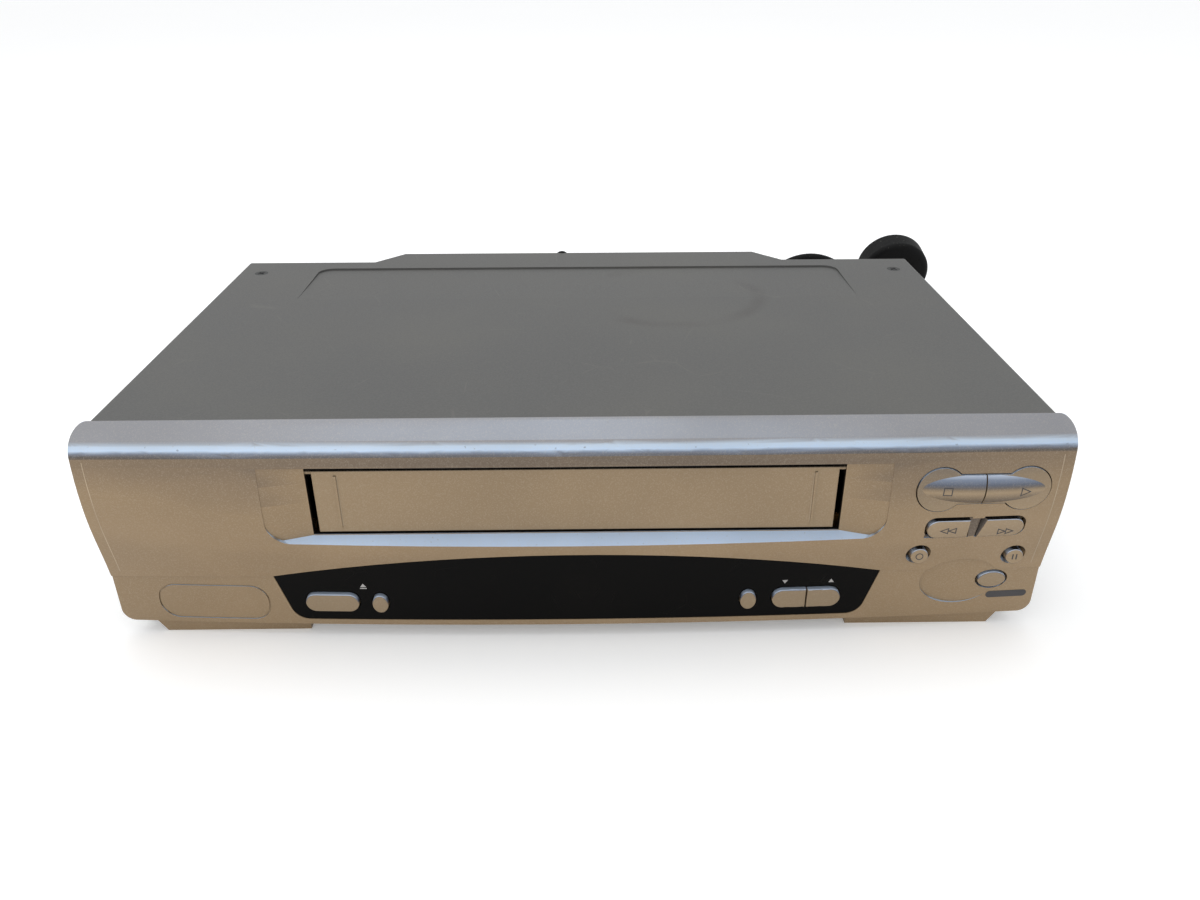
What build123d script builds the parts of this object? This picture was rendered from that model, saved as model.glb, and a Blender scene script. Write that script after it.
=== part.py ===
"""A front-loading VHS video cassette recorder, as the separate pieces that it comes apart into.

Frame: +X to the right, +Y to the rear, +Z up, millimetres. Z is 0 at the feet, and X and Y are 0 at
the middle of the machine. Depths are counted rearwards from the ridge of the front panel at its
ends, which is at FACE_Y, and heights from the floor.
"""

import math
import os

from build123d import *

os.makedirs("parts", exist_ok=True)

# --- Overall sizes ---------------------------------------------------------------------------
CASE_W = 350.0  # steel cover
PANEL_OUT = 5.0  # how far the front panel stands out at each side of the cover
CASE_H = 92.0  # floor to top of cover
SIDE_DEPTH = 198.5  # ridge to the rear edge of the cover, at its corners
CENTRE_DEPTH = 213.5  # ridge to the rear edge of the cover, at its middle
CENTRE_HALF, TAPER_HALF = 94.3, 108.0  # where the rear steps out, and where the step begins
COVER_FRONT = 9.3  # ridge to the front edge of the cover
FOOT_H = 6.0
SHEET = 0.8  # cover steel
BEND_R = 2.0  # outside bend of the cover
WALL = 2.4  # moulded walls
BOW_REACH = 4.2  # how far the middle of the face stands in front of its ends
SOCKET_REACH = 8.5  # how far the sockets stand out of the rear edge
PIECE_GAP = 0.2  # between parts that are fitted together
TONGUE_T, TONGUE_REACH, TONGUE_BOTTOM = 2.0, 7.0, 24.0  # front panel's tongue inside the cover
TONGUE_HALF, TONGUE_TOP = CASE_W / 2 - SHEET - PIECE_GAP, CASE_H - SHEET - PIECE_GAP
FACE_Y = (BOW_REACH - CENTRE_DEPTH - SOCKET_REACH) / 2
HALF = CASE_W / 2 + PANEL_OUT  # of the front panel
BACK = FACE_Y + COVER_FRONT
CLEAR = FACE_Y - 20.0  # a plane clear in front of the machine

# --- Front face: depth of its ends and bow of its middle, by height --------------------------
FACE_POINTS = [(24.0, 5.9), (33.0, 4.4), (42.0, 2.6), (51.5, 0.8), (60.0, -0.2), (68.0, -0.5), (78.0, -0.2)]
BOW_POINTS = [(24.0, 6.0), (33.0, 6.0), (42.0, 6.0), (51.5, 5.0), (60.0, 3.6), (68.0, 2.4), (78.0, 1.4)]
RIDGE_H, RIDGE_DEPTH, RIDGE_BOW, RIDGE_R = 84.6, 0.3, 0.9, 8.0
LOWER_DEPTH, LOWER_BOW = 6.0, 6.1  # the set-back lower face
CREASE_END_H, CREASE_H, ARCH_H = 27.3, 29.0, 40.7  # crease at the ends, beside the window, over it
CORNER_R = 5.0
JOIN_H = ARCH_H + 2.0  # top of the lower wall, behind the upper one

# --- Cassette opening ------------------------------------------------------------------------
FLAP_W, FLAP_BOTTOM, FLAP_TOP, FLAP_T = 191.6, 48.9, 74.9, 2.2
SLOT_W, SLOT_BOTTOM, SLOT_TOP = FLAP_W + 4.8, FLAP_BOTTOM - 1.0, FLAP_TOP + 2.1
RECESS_W, RECESS_FLOOR_W, RECESS_BOTTOM, RECESS_TOP = 229.0, SLOT_W + 1.0, 47.6, 77.4
RECESS_DEPTH, RECESS_STEP, SILL_FALL, RECESS_R = 1.5, 0.15, 0.49, 9.0
RECESS_LEVELS = (JOIN_H - 1, 47.0, 54.0, 62.0, 70.0, RECESS_TOP + 1)  # its sides follow the face
FLAP_PIN_DROP, FLAP_PIN_BACK, FLAP_PIN_R = 0.95, 1.3, 0.9
FLAP_PIN_REACH = (SLOT_W - FLAP_W) / 2 + 1.7
LUG_T, LUG_DEPTH, LUG_H = 3.5, 5.0, 7.0
RIDGE_X, RIDGE_W, RIDGE_PROUD, RIDGE_MARGIN = 87.4, 0.9, 0.5, 2.0  # grip ridges on the flap
FLAP_EDGE_R = 0.4
RUNNING = 0.06  # radial clearance of a pin in its bore
FLAP_Y = FACE_Y + RECESS_DEPTH
FLAP_PIN_Y, FLAP_PIN_Z = FLAP_Y + FLAP_PIN_BACK, FLAP_TOP - FLAP_PIN_DROP

# --- Display window and the buttons in it ----------------------------------------------------
WINDOW_HALF_TOP, WINDOW_HALF_BOTTOM, WINDOW_BOTTOM, WINDOW_R = 117.0, 110.0, 8.6, 7.0
WINDOW_SET_BACK, WINDOW_FLANGE, WINDOW_FLANGE_T = 0.15, 2.5, 1.2
BUTTON_TRAVEL, BUTTON_GAP, FLANGE_OUT, FLANGE_T = 1.0, 0.45, 1.2, 1.0
STEM_R, STEM_GAP = 2.0, 0.1
WINDOW_BUTTON_PROUD, PANEL_BUTTON_PROUD, CAP_R = 1.3, 0.4, 0.4
# name: left, right, middle height, height of the button; and its cut side, if it is half a pill
WINDOW_BUTTONS = {
    "function_button": (-105.4, -84.7, 17.0, 8.0, None),
    "eject_button": (-79.6, -73.4, 16.6, 8.0, None),
    "tape_speed_button": (62.9, 69.1, 16.9, 8.2, None),
    "channel_down_button": (75.3, 101.9, 17.2, 8.4, "right"),
    "channel_up_button": (75.3, 101.9, 17.2, 8.4, "left"),
}
HALVES_GAP = 0.5  # between two buttons that share a hole

# --- Transport buttons -----------------------------------------------------------------------
DISC_R, DISC_Z, STOP_X, PLAY_X = 8.8, 66.5, 132.8, 164.3
BAR_H, BAR_Z, BAR_PROUD, BAR_OVERHANG = 11.7, 66.6, 1.8, 7.0
WIND_LEFT, WIND_RIGHT, WIND_BOTTOM, WIND_TOP, WIND_PROUD = 130.3, 166.9, 45.4, 53.4, 0.8
WIND_SPLIT_L, WIND_SPLIT_R, WIND_SLANT = 146.0, 152.2, 2.4
WIND_POCKET_DEPTH, WIND_MARGIN, WIND_LIFT, LOOSE_GAP = 2.4, 0.4, 0.35, 0.8
RECORD_X, RECORD_Z, PAUSE_X, PAUSE_Z = 129.6, 36.8, 167.2, 34.6
ROUND_R, ROUND_PROUD, DISH_R, DISH_DEPTH = 3.3, 1.5, 4.8, 2.2
RETURN_X, RETURN_Z, RETURN_RX, RETURN_RZ, RETURN_PROUD = 161.6, 22.3, 5.6, 3.6, 0.5
THUMB_X, THUMB_Z, THUMB_RX, THUMB_RZ, THUMB_DEPTH = 148.3, 22.6, 15.4, 10.9, 0.7
BADGE_LEFT, BADGE_RIGHT, BADGE_BOTTOM, BADGE_TOP = -163.6, -119.6, 8.0, 24.2
BADGE_R, GROOVE_W, GROOVE_DEPTH = 7.5, 0.7, 0.4

# --- Front circuit board ---------------------------------------------------------------------
BOARD_DEPTH, BOARD_T, BOARD_HALF, BOARD_BOTTOM, BOARD_TOP = 20.0, 1.6, CASE_W / 2 - 4, 10.0, CASE_H - 8
BOARD_STEP_X, BOARD_STEP_Z = 104.0, 43.0  # the board is cut away behind the cassette opening
SWITCH_W, SWITCH_H, PLUNGER_R, PLUNGER_H = 6.0, 3.5, 1.7, 1.2
BOARD_Y = FACE_Y + BOARD_DEPTH
STEM_END = BOARD_Y - SWITCH_H - PLUNGER_H - BUTTON_TRAVEL - STEM_GAP
TUBE_HALF, TUBE_LOW, TUBE_HIGH, TUBE_T, TUBE_LIFT, TUBE_R = 48.0, 14.0, 32.0, 6.0, 6.0, 1.0
TUBE_LEGS, LEG_W = 12, 0.8

# --- Cover, tray and rear panel --------------------------------------------------------------
EMBOSS_HALF, EMBOSS_FRONT, EMBOSS_BACK, EMBOSS_DEPTH, EMBOSS_R = CASE_W / 2 - 41, 139.0, 188.0, 1.0, 7.0
COVER_BOTTOM, TRAY_T, TRAY_WALL_H = 7.6, 1.0, 20.0
SCREW_X, SCREW_DEPTH, SCREW_R, SCREW_HEAD_R, SCREW_SINK_R = CASE_W / 2 - 12, 181.0, 1.5, 3.4, 2.6
REAR_SCREW_X, REAR_SCREW_Z, REAR_HEAD_R, REAR_HEAD_T, EAR_W, EAR_H = -9.3, CASE_H - 3, 3.8, 2.2, 12.0, 9.0
SCREW_REACH, HOLE_GAP, TAB_T, TAB_W = 6.0, 0.3, 1.0, 16.0
REAR_T, REAR_RETURN = 2.0, 4.0
FRONT_FOOT_IN, FRONT_FOOT_OUT, FRONT_FOOT_SLANT = 107.0, CASE_W / 2 - 7, 4.0
FRONT_FOOT_FRONT, FRONT_FOOT_BACK, PLINTH_FRONT, PLINTH_LIFT = 6.6, 35.0, 13.0, 2.0
REAR_FOOT_X, REAR_FOOT_DEPTH, REAR_FOOT_R = CASE_W / 2 - 35, 170.0, 9.0

# --- Circuit board and the bays at the sides -------------------------------------------------
MAIN_Z, MAIN_T, MAIN_HALF, MAIN_FRONT, MAIN_BACK = 11.0, 1.6, CASE_W / 2 - 5, 24.0, 192.0
POST_X, POST_R = MAIN_HALF - 10, 3.0
POST_PLACES = [(x, y) for x in (-POST_X, 0.0, POST_X) for y in (34.0, 184.0)]
TRANSFORMER = ((112.0, 138.0), (160.0, 182.0), 46.0)  # corner, corner, height
SINK_LEFT, SINK_RIGHT, SINK_DEPTH, SINK_T, SINK_H, SINK_FINS = 112.0, 164.0, 118.0, 3.0, 44.0, 7
# x, depth, radius and height of the round parts on the board
CANS = [
    (120.0, 60.0, 8.0, 25.0), (140.0, 62.0, 8.0, 25.0), (156.0, 84.0, 5.0, 16.0), (120.0, 90.0, 6.5, 20.0),
]
# x, depth, width, length and height of the square ones
BLOCKS = [
    (-136.0, 60.0, 40.0, 30.0, 22.0), (-136.0, 110.0, 42.0, 34.0, 18.0), (-136.0, 160.0, 36.0, 30.0, 26.0),
]
CHIPS = [(x, y) for x in (-60.0, -20.0, 20.0, 60.0) for y in (70.0, 110.0)]
CHIP_W, CHIP_L, CHIP_H = 24.0, 10.0, 3.0

# --- Sockets ---------------------------------------------------------------------------------
AV_PLACES, AV_Z, AV_R, AV_BORE_R = (-45.0, -31.0, -17.0), 40.0, 4.15, 1.8
AV_BLOCK_H, AV_BLOCK_DEPTH, SOCKET_MARGIN, COLLAR = 14.0, 11.0, 6.0, 1.0  # COLLAR: at a socket's root
AERIAL_X, AERIAL_PLACES, AERIAL_R, AERIAL_BORE_R = -69.0, (30.0, 54.0), 4.7, 3.2
SCART_LEFT, SCART_RIGHT, SCART_BOTTOM, SCART_TOP, SCART_PROUD = 0.0, 48.0, 33.0, 47.0, 2.5
SCART_WALL, SCART_HOLLOW = 1.6, 9.0
CAN_HALF, CAN_BOTTOM, CAN_TOP, CAN_DEPTH = 11.0, 16.0, 66.0, 17.0

# --- Tape deck -------------------------------------------------------------------------------
DECK_Z, DECK_T, DECK_HALF, DECK_FRONT, DECK_BACK = 22.0, 1.2, 102.0, 36.0, 192.0
PILLAR_X, PILLAR_DEPTHS, PILLAR_R = 92.0, (44.0, 184.0), 4.0
BRACKET_X, BRACKET_T, BRACKET_BACK, BRACKET_TOP = 99.0, 1.5, 131.0, 78.0
SLIDER_X, SLIDER_T, HOLDER_FRONT, HOLDER_BACK = 96.6, 1.2, 33.0, 81.5
SLIDER_BOTTOM, SLIDER_TOP, BRIDGE_FRONT, BRIDGE_BACK = 30.0, 76.5, 68.0, 79.0
DRAW_IN, LOWER = 46.0, 20.0  # travel of the cassette, rearwards and down
PIN_R, PIN_Z, SLIDER_PIN_DEPTHS, HOLDER_PIN_DEPTHS = 1.5, 62.0, (40.0, 74.0), (46.0, 68.0)
HOLDER_HALF, HOLDER_T, LEDGE_IN, LEDGE_T, LEDGE_TOP = 95.75, 1.0, 84.0, 1.2, 47.7
ROOF_BOTTOM, ROOF_T, STOP_IN, STOP_T, STOP_H = 72.7, 1.3, 78.0, 1.5, 12.0
REEL_X, REEL_DEPTH, REEL_R, REEL_DISC_T, SPINDLE_R, SPINDLE_TOP = 46.0, 64.0, 20.0, 3.0, 5.0, 37.0
AXLE_R, DECK_GAP, SPLINES, SPLINE_OUT = 2.0, 0.4, 6, 1.6
IDLER_DEPTH, IDLER_REACH, IDLER_WHEEL_R, IDLER_WHEEL_T, ARM_T, ARM_HALF = 96.0, 30.0, 19.5, 2.4, 1.4, 3.5
DRUM_DEPTH, DRUM_R, DRUM_BASE_R, DRUM_SPLIT, DRUM_TOP, DRUM_GAP = 165.0, 31.0, 20.0, 41.0, 56.0, 0.3
DRUM_BASE_H, DRUM_AXLE_R = 5.0, 3.0
CAPSTAN_X, CAPSTAN_DEPTH, CAPSTAN_R, CAPSTAN_TOP, FLYWHEEL_R = 52.0, 135.0, 2.0, 48.0, 20.0
FLYWHEEL_Z, FLYWHEEL_T, BEARING_R, BEARING_TOP, FLANGE_R = 14.5, 5.0, 6.0, 27.5, 7.8
PINCH_X, PINCH_DEPTH, PINCH_REACH, PINCH_REST, PINCH_ROLLER_R = 70.0, 150.0, 30.0, 252.5, 6.5
PINCH_HUB_R, PINCH_ARM_HALF, PINCH_ARM_Z, PINCH_LOW, PINCH_TOP = 5.0, 2.5, 28.5, 31.0, 46.0
GUIDE_X, GUIDE_DEPTH, GUIDE_BASE_R, GUIDE_BASE_T, GUIDE_R, GUIDE_TOP = 32.0, 112.0, 6.0, 2.6, 3.0, 47.0
HEAD_X, HEAD_DEPTH, HEAD_W, HEAD_L, HEAD_TOP = 86.0, 138.0, 12.0, 12.0, 46.0
ERASE_X, ERASE_DEPTH, ERASE_W, ERASE_L = -80.0, 135.0, 12.0, 9.0
CAM_X, CAM_DEPTH, CAM_R, CAM_T, CAM_TEETH, TOOTH = -76.0, 160.0, 14.0, 5.0, 30, 1.3
MOTOR_DEPTH, MOTOR_LEFT, MOTOR_RIGHT, MOTOR_R, WORM_R, WORM_END = 183.0, -92.0, -66.0, 7.0, 2.5, -56.0

# --- Mains cord ------------------------------------------------------------------------------
CORD_R = 2.8
GLAND_X, GLAND_Z, GLAND_R, GLAND_NECK_R, GLAND_T, RELIEF_TIP_R = 76.0, 20.0, 6.5, 4.8, 2.0, 3.4
RELIEF_DEPTH = 226.5  # where the cord leaves its strain relief
COIL_R, COIL_LEFT, COIL_RIGHT, COIL_Z = 22.6, 114.2, 183.0, 25.45  # mid-line of an upright coil
COIL_DEPTH, COIL_TURNS, COIL_PITCH = 268.8, 5, 5.6  # its first turn, and the step to the next
# x, depth and height of the points of the two free stretches
LEAD_IN = [
    (76.0, 226.5, 20.0), (76.0, 243.0, 20.0), (78.8, 258.2, 27.7), (88.9, 267.5, 37.0),
    (103.3, 268.8, 45.3),
]
TAIL = [
    (91.6, 241.3, 25.4), (92.0, 241.5, 46.0), (107.5, 243.2, 64.5), (121.6, 244.1, 77.2), (138.4, 245.0, 79.4),
    (153.8, 245.5, 72.2),
]
PLUG_DEPTH, PLUG_R, PLUG_T, PLUG_TILT, PLUG_EDGE_R = 246.0, 19.45, 15.0, 13.0, 3.0
BOOT_R, BOOT_TIP_R, BOOT_LENGTH = 5.6, 3.6, 16.0
PLUG_PIN_R, PLUG_PIN_REACH, PLUG_PIN_APART, PLUG_GAP = 2.4, 19.0, 19.0, 0.05
TIE_PLACE, TIE_W, TIE_T = 17.0, 5.0, 1.0

ON_BASE = (Align.CENTER, Align.CENTER, Align.MIN)


def blend(points, at):
    """Straight-line value between (height, value) points."""
    for (low, a), (high, b) in zip(points, points[1:]):
        if at <= high:
            return a + (b - a) * (at - low) / (high - low)
    return points[-1][1]


def bowed(x):
    """Share of the full bow at a distance x from the middle."""
    return 1 - (x / HALF) ** 2


def face_y(x, z):
    """Y of the upper front face."""
    return FACE_Y + blend(FACE_POINTS, z) - blend(BOW_POINTS, z) * bowed(x)


def lower_y(x):
    """Y of the set-back lower face, which doesn't change with height."""
    return FACE_Y + LOWER_DEPTH - LOWER_BOW * bowed(x)


def across(y):
    """Sketch plane across the machine at y, seen from the front: local X is X, local Y is Z."""
    return Plane.XZ.offset(-y)


def prism(outline, front, back):
    """An outline drawn in X and Z, run from the depth front to the depth back."""
    with BuildPart(mode=Mode.PRIVATE) as body:
        with BuildSketch(across(front)):
            add(outline.sketch_local)
        extrude(amount=front - back)
    return body.part


def block(low, high):
    """A box between two corners."""
    size = [b - a for a, b in zip(low, high)]
    middle = [(a + b) / 2 for a, b in zip(low, high)]
    with BuildPart(mode=Mode.PRIVATE) as body:
        with Locations(tuple(middle)):
            Box(*size)
    return body.part


def rod(start, end, radius):
    """A round rod from one point to another."""
    way = Vector(*end) - Vector(*start)
    with BuildPart(mode=Mode.PRIVATE) as body:
        with BuildSketch(Plane(origin=start, z_dir=way)):
            Circle(radius)
        extrude(amount=way.length)
    return body.part


def rect(left, right, bottom, top, mode=Mode.ADD):
    """A rectangle in the current sketch, between its edges."""
    with Locations(((left + right) / 2, (bottom + top) / 2)):
        Rectangle(right - left, top - bottom, mode=mode)


def save(builder, name):
    """Labels a finished piece and writes it to its own file."""
    builder.part.label = name
    export_step(builder.part, f"parts/{name}.step")


def upper_section(x, inset=0.0):
    """Side profile of the upper front at x, set in by a wall."""
    k = bowed(x)
    front = [(FACE_Y + d - b * k + inset, z) for (z, d), (_, b) in zip(FACE_POINTS, BOW_POINTS)]
    ridge = (FACE_Y + RIDGE_DEPTH - RIDGE_BOW * k + inset, RIDGE_H - inset / 2)
    top = (BACK, CASE_H - inset)
    with BuildSketch(Plane.YZ.offset(x), mode=Mode.PRIVATE) as section:
        with BuildLine():
            foot, head = Vector(*front[1]) - Vector(*front[0]), Vector(*ridge) - Vector(*front[-1])
            Spline(*front, tangents=[foot, head])
            FilletPolyline(front[-1], ridge, top, radius=RIDGE_R)
            Polyline(top, (BACK, front[0][1]), front[0])
        make_face()
    return section.sketch


def lower_body(offset, back, half, bottom, top):
    """The space behind the bowed lower face, moved back by offset."""
    with BuildPart(mode=Mode.PRIVATE) as body:
        with BuildSketch(Plane.XY.offset(bottom)):
            with BuildLine():
                face = ThreePointArc(
                    (-half, lower_y(half) + offset), (0, lower_y(0) + offset), (half, lower_y(half) + offset)
                )
                Polyline(face @ 1, (half, back), (-half, back), face @ 0)
            make_face()
        extrude(amount=top - bottom)
    return body.part


def window_outline(grow):
    """Outline of the display window, grown by an even margin."""
    with BuildSketch(Plane.XZ, mode=Mode.PRIVATE) as outline:
        side, low = CREASE_H + 1.0 + grow, WINDOW_BOTTOM - grow
        with BuildLine():
            top = ThreePointArc(
                (-WINDOW_HALF_TOP - grow, side), (0, ARCH_H + 1.0 + grow), (WINDOW_HALF_TOP + grow, side)
            )
            Polyline(top @ 1, (WINDOW_HALF_BOTTOM + grow, low), (-WINDOW_HALF_BOTTOM - grow, low), top @ 0)
        make_face()
        fillet(outline.vertices().group_by(Axis.Y)[0], WINDOW_R + grow)
    return outline


def pill_outline(left, right, z, height, cut, grow):
    """A pill or upright oval; cut names the side that a neighbour in the same hole takes."""
    middle = (left + right) / 2
    with BuildSketch(Plane.XZ, mode=Mode.PRIVATE) as outline:
        with Locations((middle, z)):
            if right - left > height:
                SlotOverall(right - left + 2 * grow, height + 2 * grow)
            else:
                Ellipse((right - left) / 2 + grow, height / 2 + grow)
        if cut:
            side = 1 if cut == "right" else -1
            edge = middle - side * HALVES_GAP / 2
            with Locations((edge + side * (right - left) / 2, z)):
                Rectangle(right - left, 2 * height, mode=Mode.SUBTRACT)
    return outline


def transport_outline(grow):
    """Two discs joined by a bar, for the stop and play buttons."""
    with BuildSketch(Plane.XZ, mode=Mode.PRIVATE) as outline:
        with Locations((STOP_X, DISC_Z), (PLAY_X, DISC_Z)):
            Circle(DISC_R + grow)
        with Locations(((STOP_X + PLAY_X) / 2, BAR_Z)):
            Rectangle(PLAY_X - STOP_X, BAR_H + 2 * grow)
    return outline


def wind_outline(side, grow):
    """Rewind (side -1) or fast forward (side 1): round outside, slanted inside."""
    outer, inner = (WIND_LEFT, WIND_SPLIT_L) if side < 0 else (WIND_RIGHT, WIND_SPLIT_R)
    radius = (WIND_TOP - WIND_BOTTOM) / 2
    with BuildSketch(Plane.XZ, mode=Mode.PRIVATE) as outline:
        with BuildLine():
            Polyline(
                (inner - side * grow, WIND_TOP + grow),
                (outer + side * grow, WIND_TOP + grow),
                (outer + side * grow, WIND_BOTTOM - grow),
                (inner - side * (grow + WIND_SLANT * (side > 0)), WIND_BOTTOM - grow),
                close=True,
            )
        make_face()
        from_outside = outline.vertices().sort_by(lambda corner: -side * corner.X)
        fillet(from_outside[:2], radius)
    return outline


def oval_outline(x, z, rx, rz):
    with BuildSketch(Plane.XZ, mode=Mode.PRIVATE) as outline:
        with Locations((x, z)):
            Ellipse(rx, rz)
    return outline


# --- Front panel -----------------------------------------------------------------------------
PAST_END = HALF + 1  # the face is drawn past its ends, and trimmed by its rounded outline
with BuildPart() as crease_zone:
    with BuildSketch(across(CLEAR)):
        with BuildLine():
            arch = ThreePointArc((-WINDOW_HALF_TOP, CREASE_H), (0, ARCH_H), (WINDOW_HALF_TOP, CREASE_H))
            Polyline(
                arch @ 1,
                (PAST_END + 1, CREASE_END_H),
                (PAST_END + 1, CASE_H + 1),
                (-PAST_END - 1, CASE_H + 1),
                (-PAST_END - 1, CREASE_END_H),
                arch @ 0,
            )
        make_face()
    extrude(amount=CLEAR - BACK)

with BuildPart() as outer_form:
    loft([upper_section(x) for x in (-PAST_END, 0, PAST_END)])
    add(crease_zone.part, mode=Mode.INTERSECT)
    add(lower_body(0, BACK, PAST_END, FOOT_H - 1, JOIN_H))
    with BuildSketch(across(CLEAR)):
        with Locations((0, (FOOT_H + CASE_H) / 2)):
            RectangleRounded(2 * HALF, CASE_H - FOOT_H, CORNER_R)
    extrude(amount=CLEAR - BACK, mode=Mode.INTERSECT)

with BuildPart() as panel_cavity:
    inner = HALF - WALL
    loft([upper_section(x, WALL) for x in (-inner, 0, inner)])
    add(block((-HALF, CLEAR, FOOT_H), (HALF, BACK, JOIN_H)), mode=Mode.SUBTRACT)
    add(lower_body(WALL, BACK, inner, FOOT_H + WALL, JOIN_H))
    add(
        block(
            (-RECESS_W / 2 - WALL, CLEAR, JOIN_H - WALL),
            (RECESS_W / 2 + WALL, FLAP_Y + WALL, RECESS_TOP + WALL),
        ),
        mode=Mode.SUBTRACT,
    )



def recess_level(z):
    """Plan of the recess at a height, with sides that slope back from the face."""
    lip = face_y(RECESS_W / 2, z) + RECESS_STEP
    slope = (RECESS_W - RECESS_FLOOR_W) / 2 / (FLAP_Y - lip)
    plan = [(RECESS_W / 2 - slope * (y - lip), y) for y in (CLEAR, FLAP_Y + 1)]
    with BuildSketch(Plane.XY.offset(z), mode=Mode.PRIVATE) as level:
        Polygon(*plan, *[(-x, y) for x, y in reversed(plan)], align=None)
    return level.sketch


lip_y = face_y(RECESS_W / 2, RECESS_BOTTOM) + RECESS_STEP
with BuildSketch(Plane.XZ) as recess_outline:
    with BuildLine():
        Polyline(
            (-RECESS_W / 2, RECESS_TOP),
            (-RECESS_W / 2, RECESS_BOTTOM - SILL_FALL * (FLAP_Y - lip_y)),
            (0, JOIN_H),
            (RECESS_W / 2, RECESS_BOTTOM - SILL_FALL * (FLAP_Y - lip_y)),
            (RECESS_W / 2, RECESS_TOP),
            close=True,
        )
    make_face()
    fillet(recess_outline.vertices().group_by(Axis.Y)[1], RECESS_R)

with BuildPart() as recess_space:
    with BuildSketch(Plane.YZ.offset(-HALF)):
        with BuildLine():
            Polyline(
                (FLAP_Y, RECESS_TOP),
                (FLAP_Y, RECESS_BOTTOM),
                (CLEAR, RECESS_BOTTOM - SILL_FALL * (FLAP_Y - CLEAR)),
                (CLEAR, RECESS_TOP),
                close=True,
            )
        make_face()
    extrude(amount=2 * HALF)
    add(prism(recess_outline, CLEAR - 1, BACK), mode=Mode.INTERSECT)
    with BuildPart(mode=Mode.PRIVATE) as recess_sides:
        loft([recess_level(z) for z in RECESS_LEVELS], ruled=True)
    add(recess_sides.part, mode=Mode.INTERSECT)

with BuildPart() as rear_flange:
    with BuildSketch(across(BACK - TONGUE_T)):
        with Locations((0, (FOOT_H + CASE_H) / 2)):
            RectangleRounded(2 * HALF, CASE_H - FOOT_H, CORNER_R)
        half, low, high = TONGUE_HALF - TONGUE_T, FOOT_H + WALL, TONGUE_TOP - TONGUE_T
        rect(-half, half, low, high, Mode.SUBTRACT)
    extrude(amount=-TONGUE_T)
    add(outer_form.part, mode=Mode.INTERSECT)

WIND_POCKET = (WIND_LEFT - WIND_MARGIN, WIND_RIGHT + WIND_MARGIN)
with BuildPart() as wind_pocket:
    with BuildSketch(Plane.YZ.offset(WIND_POCKET[0])):
        with BuildLine():
            low = face_y(WIND_SPLIT_L, WIND_BOTTOM)
            high = face_y(WIND_SPLIT_L, WIND_TOP) + WIND_POCKET_DEPTH
            Polyline(
                (low, WIND_BOTTOM - WIND_MARGIN / 2),
                (high, WIND_TOP + WIND_MARGIN),
                (CLEAR, WIND_TOP + WIND_MARGIN),
                (CLEAR, WIND_BOTTOM - WIND_MARGIN / 2),
                close=True,
            )
        make_face()
    extrude(amount=WIND_POCKET[1] - WIND_POCKET[0])
    upright = wind_pocket.edges().filter_by(Axis.Y).group_by(Axis.Z)[-1]
    fillet(upright, (WIND_TOP - WIND_BOTTOM) / 2)

RETURN_HOLE = oval_outline(RETURN_X, RETURN_Z, RETURN_RX + LOOSE_GAP, RETURN_RZ + LOOSE_GAP)
ROUND_PLACES = [(RECORD_X, RECORD_Z), (PAUSE_X, PAUSE_Z)]

with BuildPart() as window_space:
    add(lower_body(-PIECE_GAP, BACK, HALF, WINDOW_BOTTOM - PIECE_GAP, JOIN_H))
    add(prism(window_outline(PIECE_GAP), CLEAR, BACK), mode=Mode.INTERSECT)
WINDOW_SPACE = window_space.part

with BuildPart() as thumb_dish:
    add(lower_body(THUMB_DEPTH - 9.0, lower_y(THUMB_X) + THUMB_DEPTH, HALF, FOOT_H + WALL, JOIN_H))
    add(prism(oval_outline(THUMB_X, THUMB_Z, THUMB_RX, THUMB_RZ), CLEAR, BACK), mode=Mode.INTERSECT)

with BuildPart() as badge_groove:
    add(lower_body(-2.0, BACK, HALF, FOOT_H, JOIN_H))
    add(lower_body(GROOVE_DEPTH, BACK, HALF, FOOT_H, JOIN_H), mode=Mode.SUBTRACT)
    with BuildSketch(across(CLEAR)):
        width, height = BADGE_RIGHT - BADGE_LEFT, BADGE_TOP - BADGE_BOTTOM
        with Locations(((BADGE_LEFT + BADGE_RIGHT) / 2, (BADGE_BOTTOM + BADGE_TOP) / 2)):
            RectangleRounded(width, height, BADGE_R)
            RectangleRounded(
                width - 2 * GROOVE_W, height - 2 * GROOVE_W, BADGE_R - GROOVE_W, mode=Mode.SUBTRACT
            )
    extrude(amount=CLEAR - BACK, mode=Mode.INTERSECT)

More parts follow.
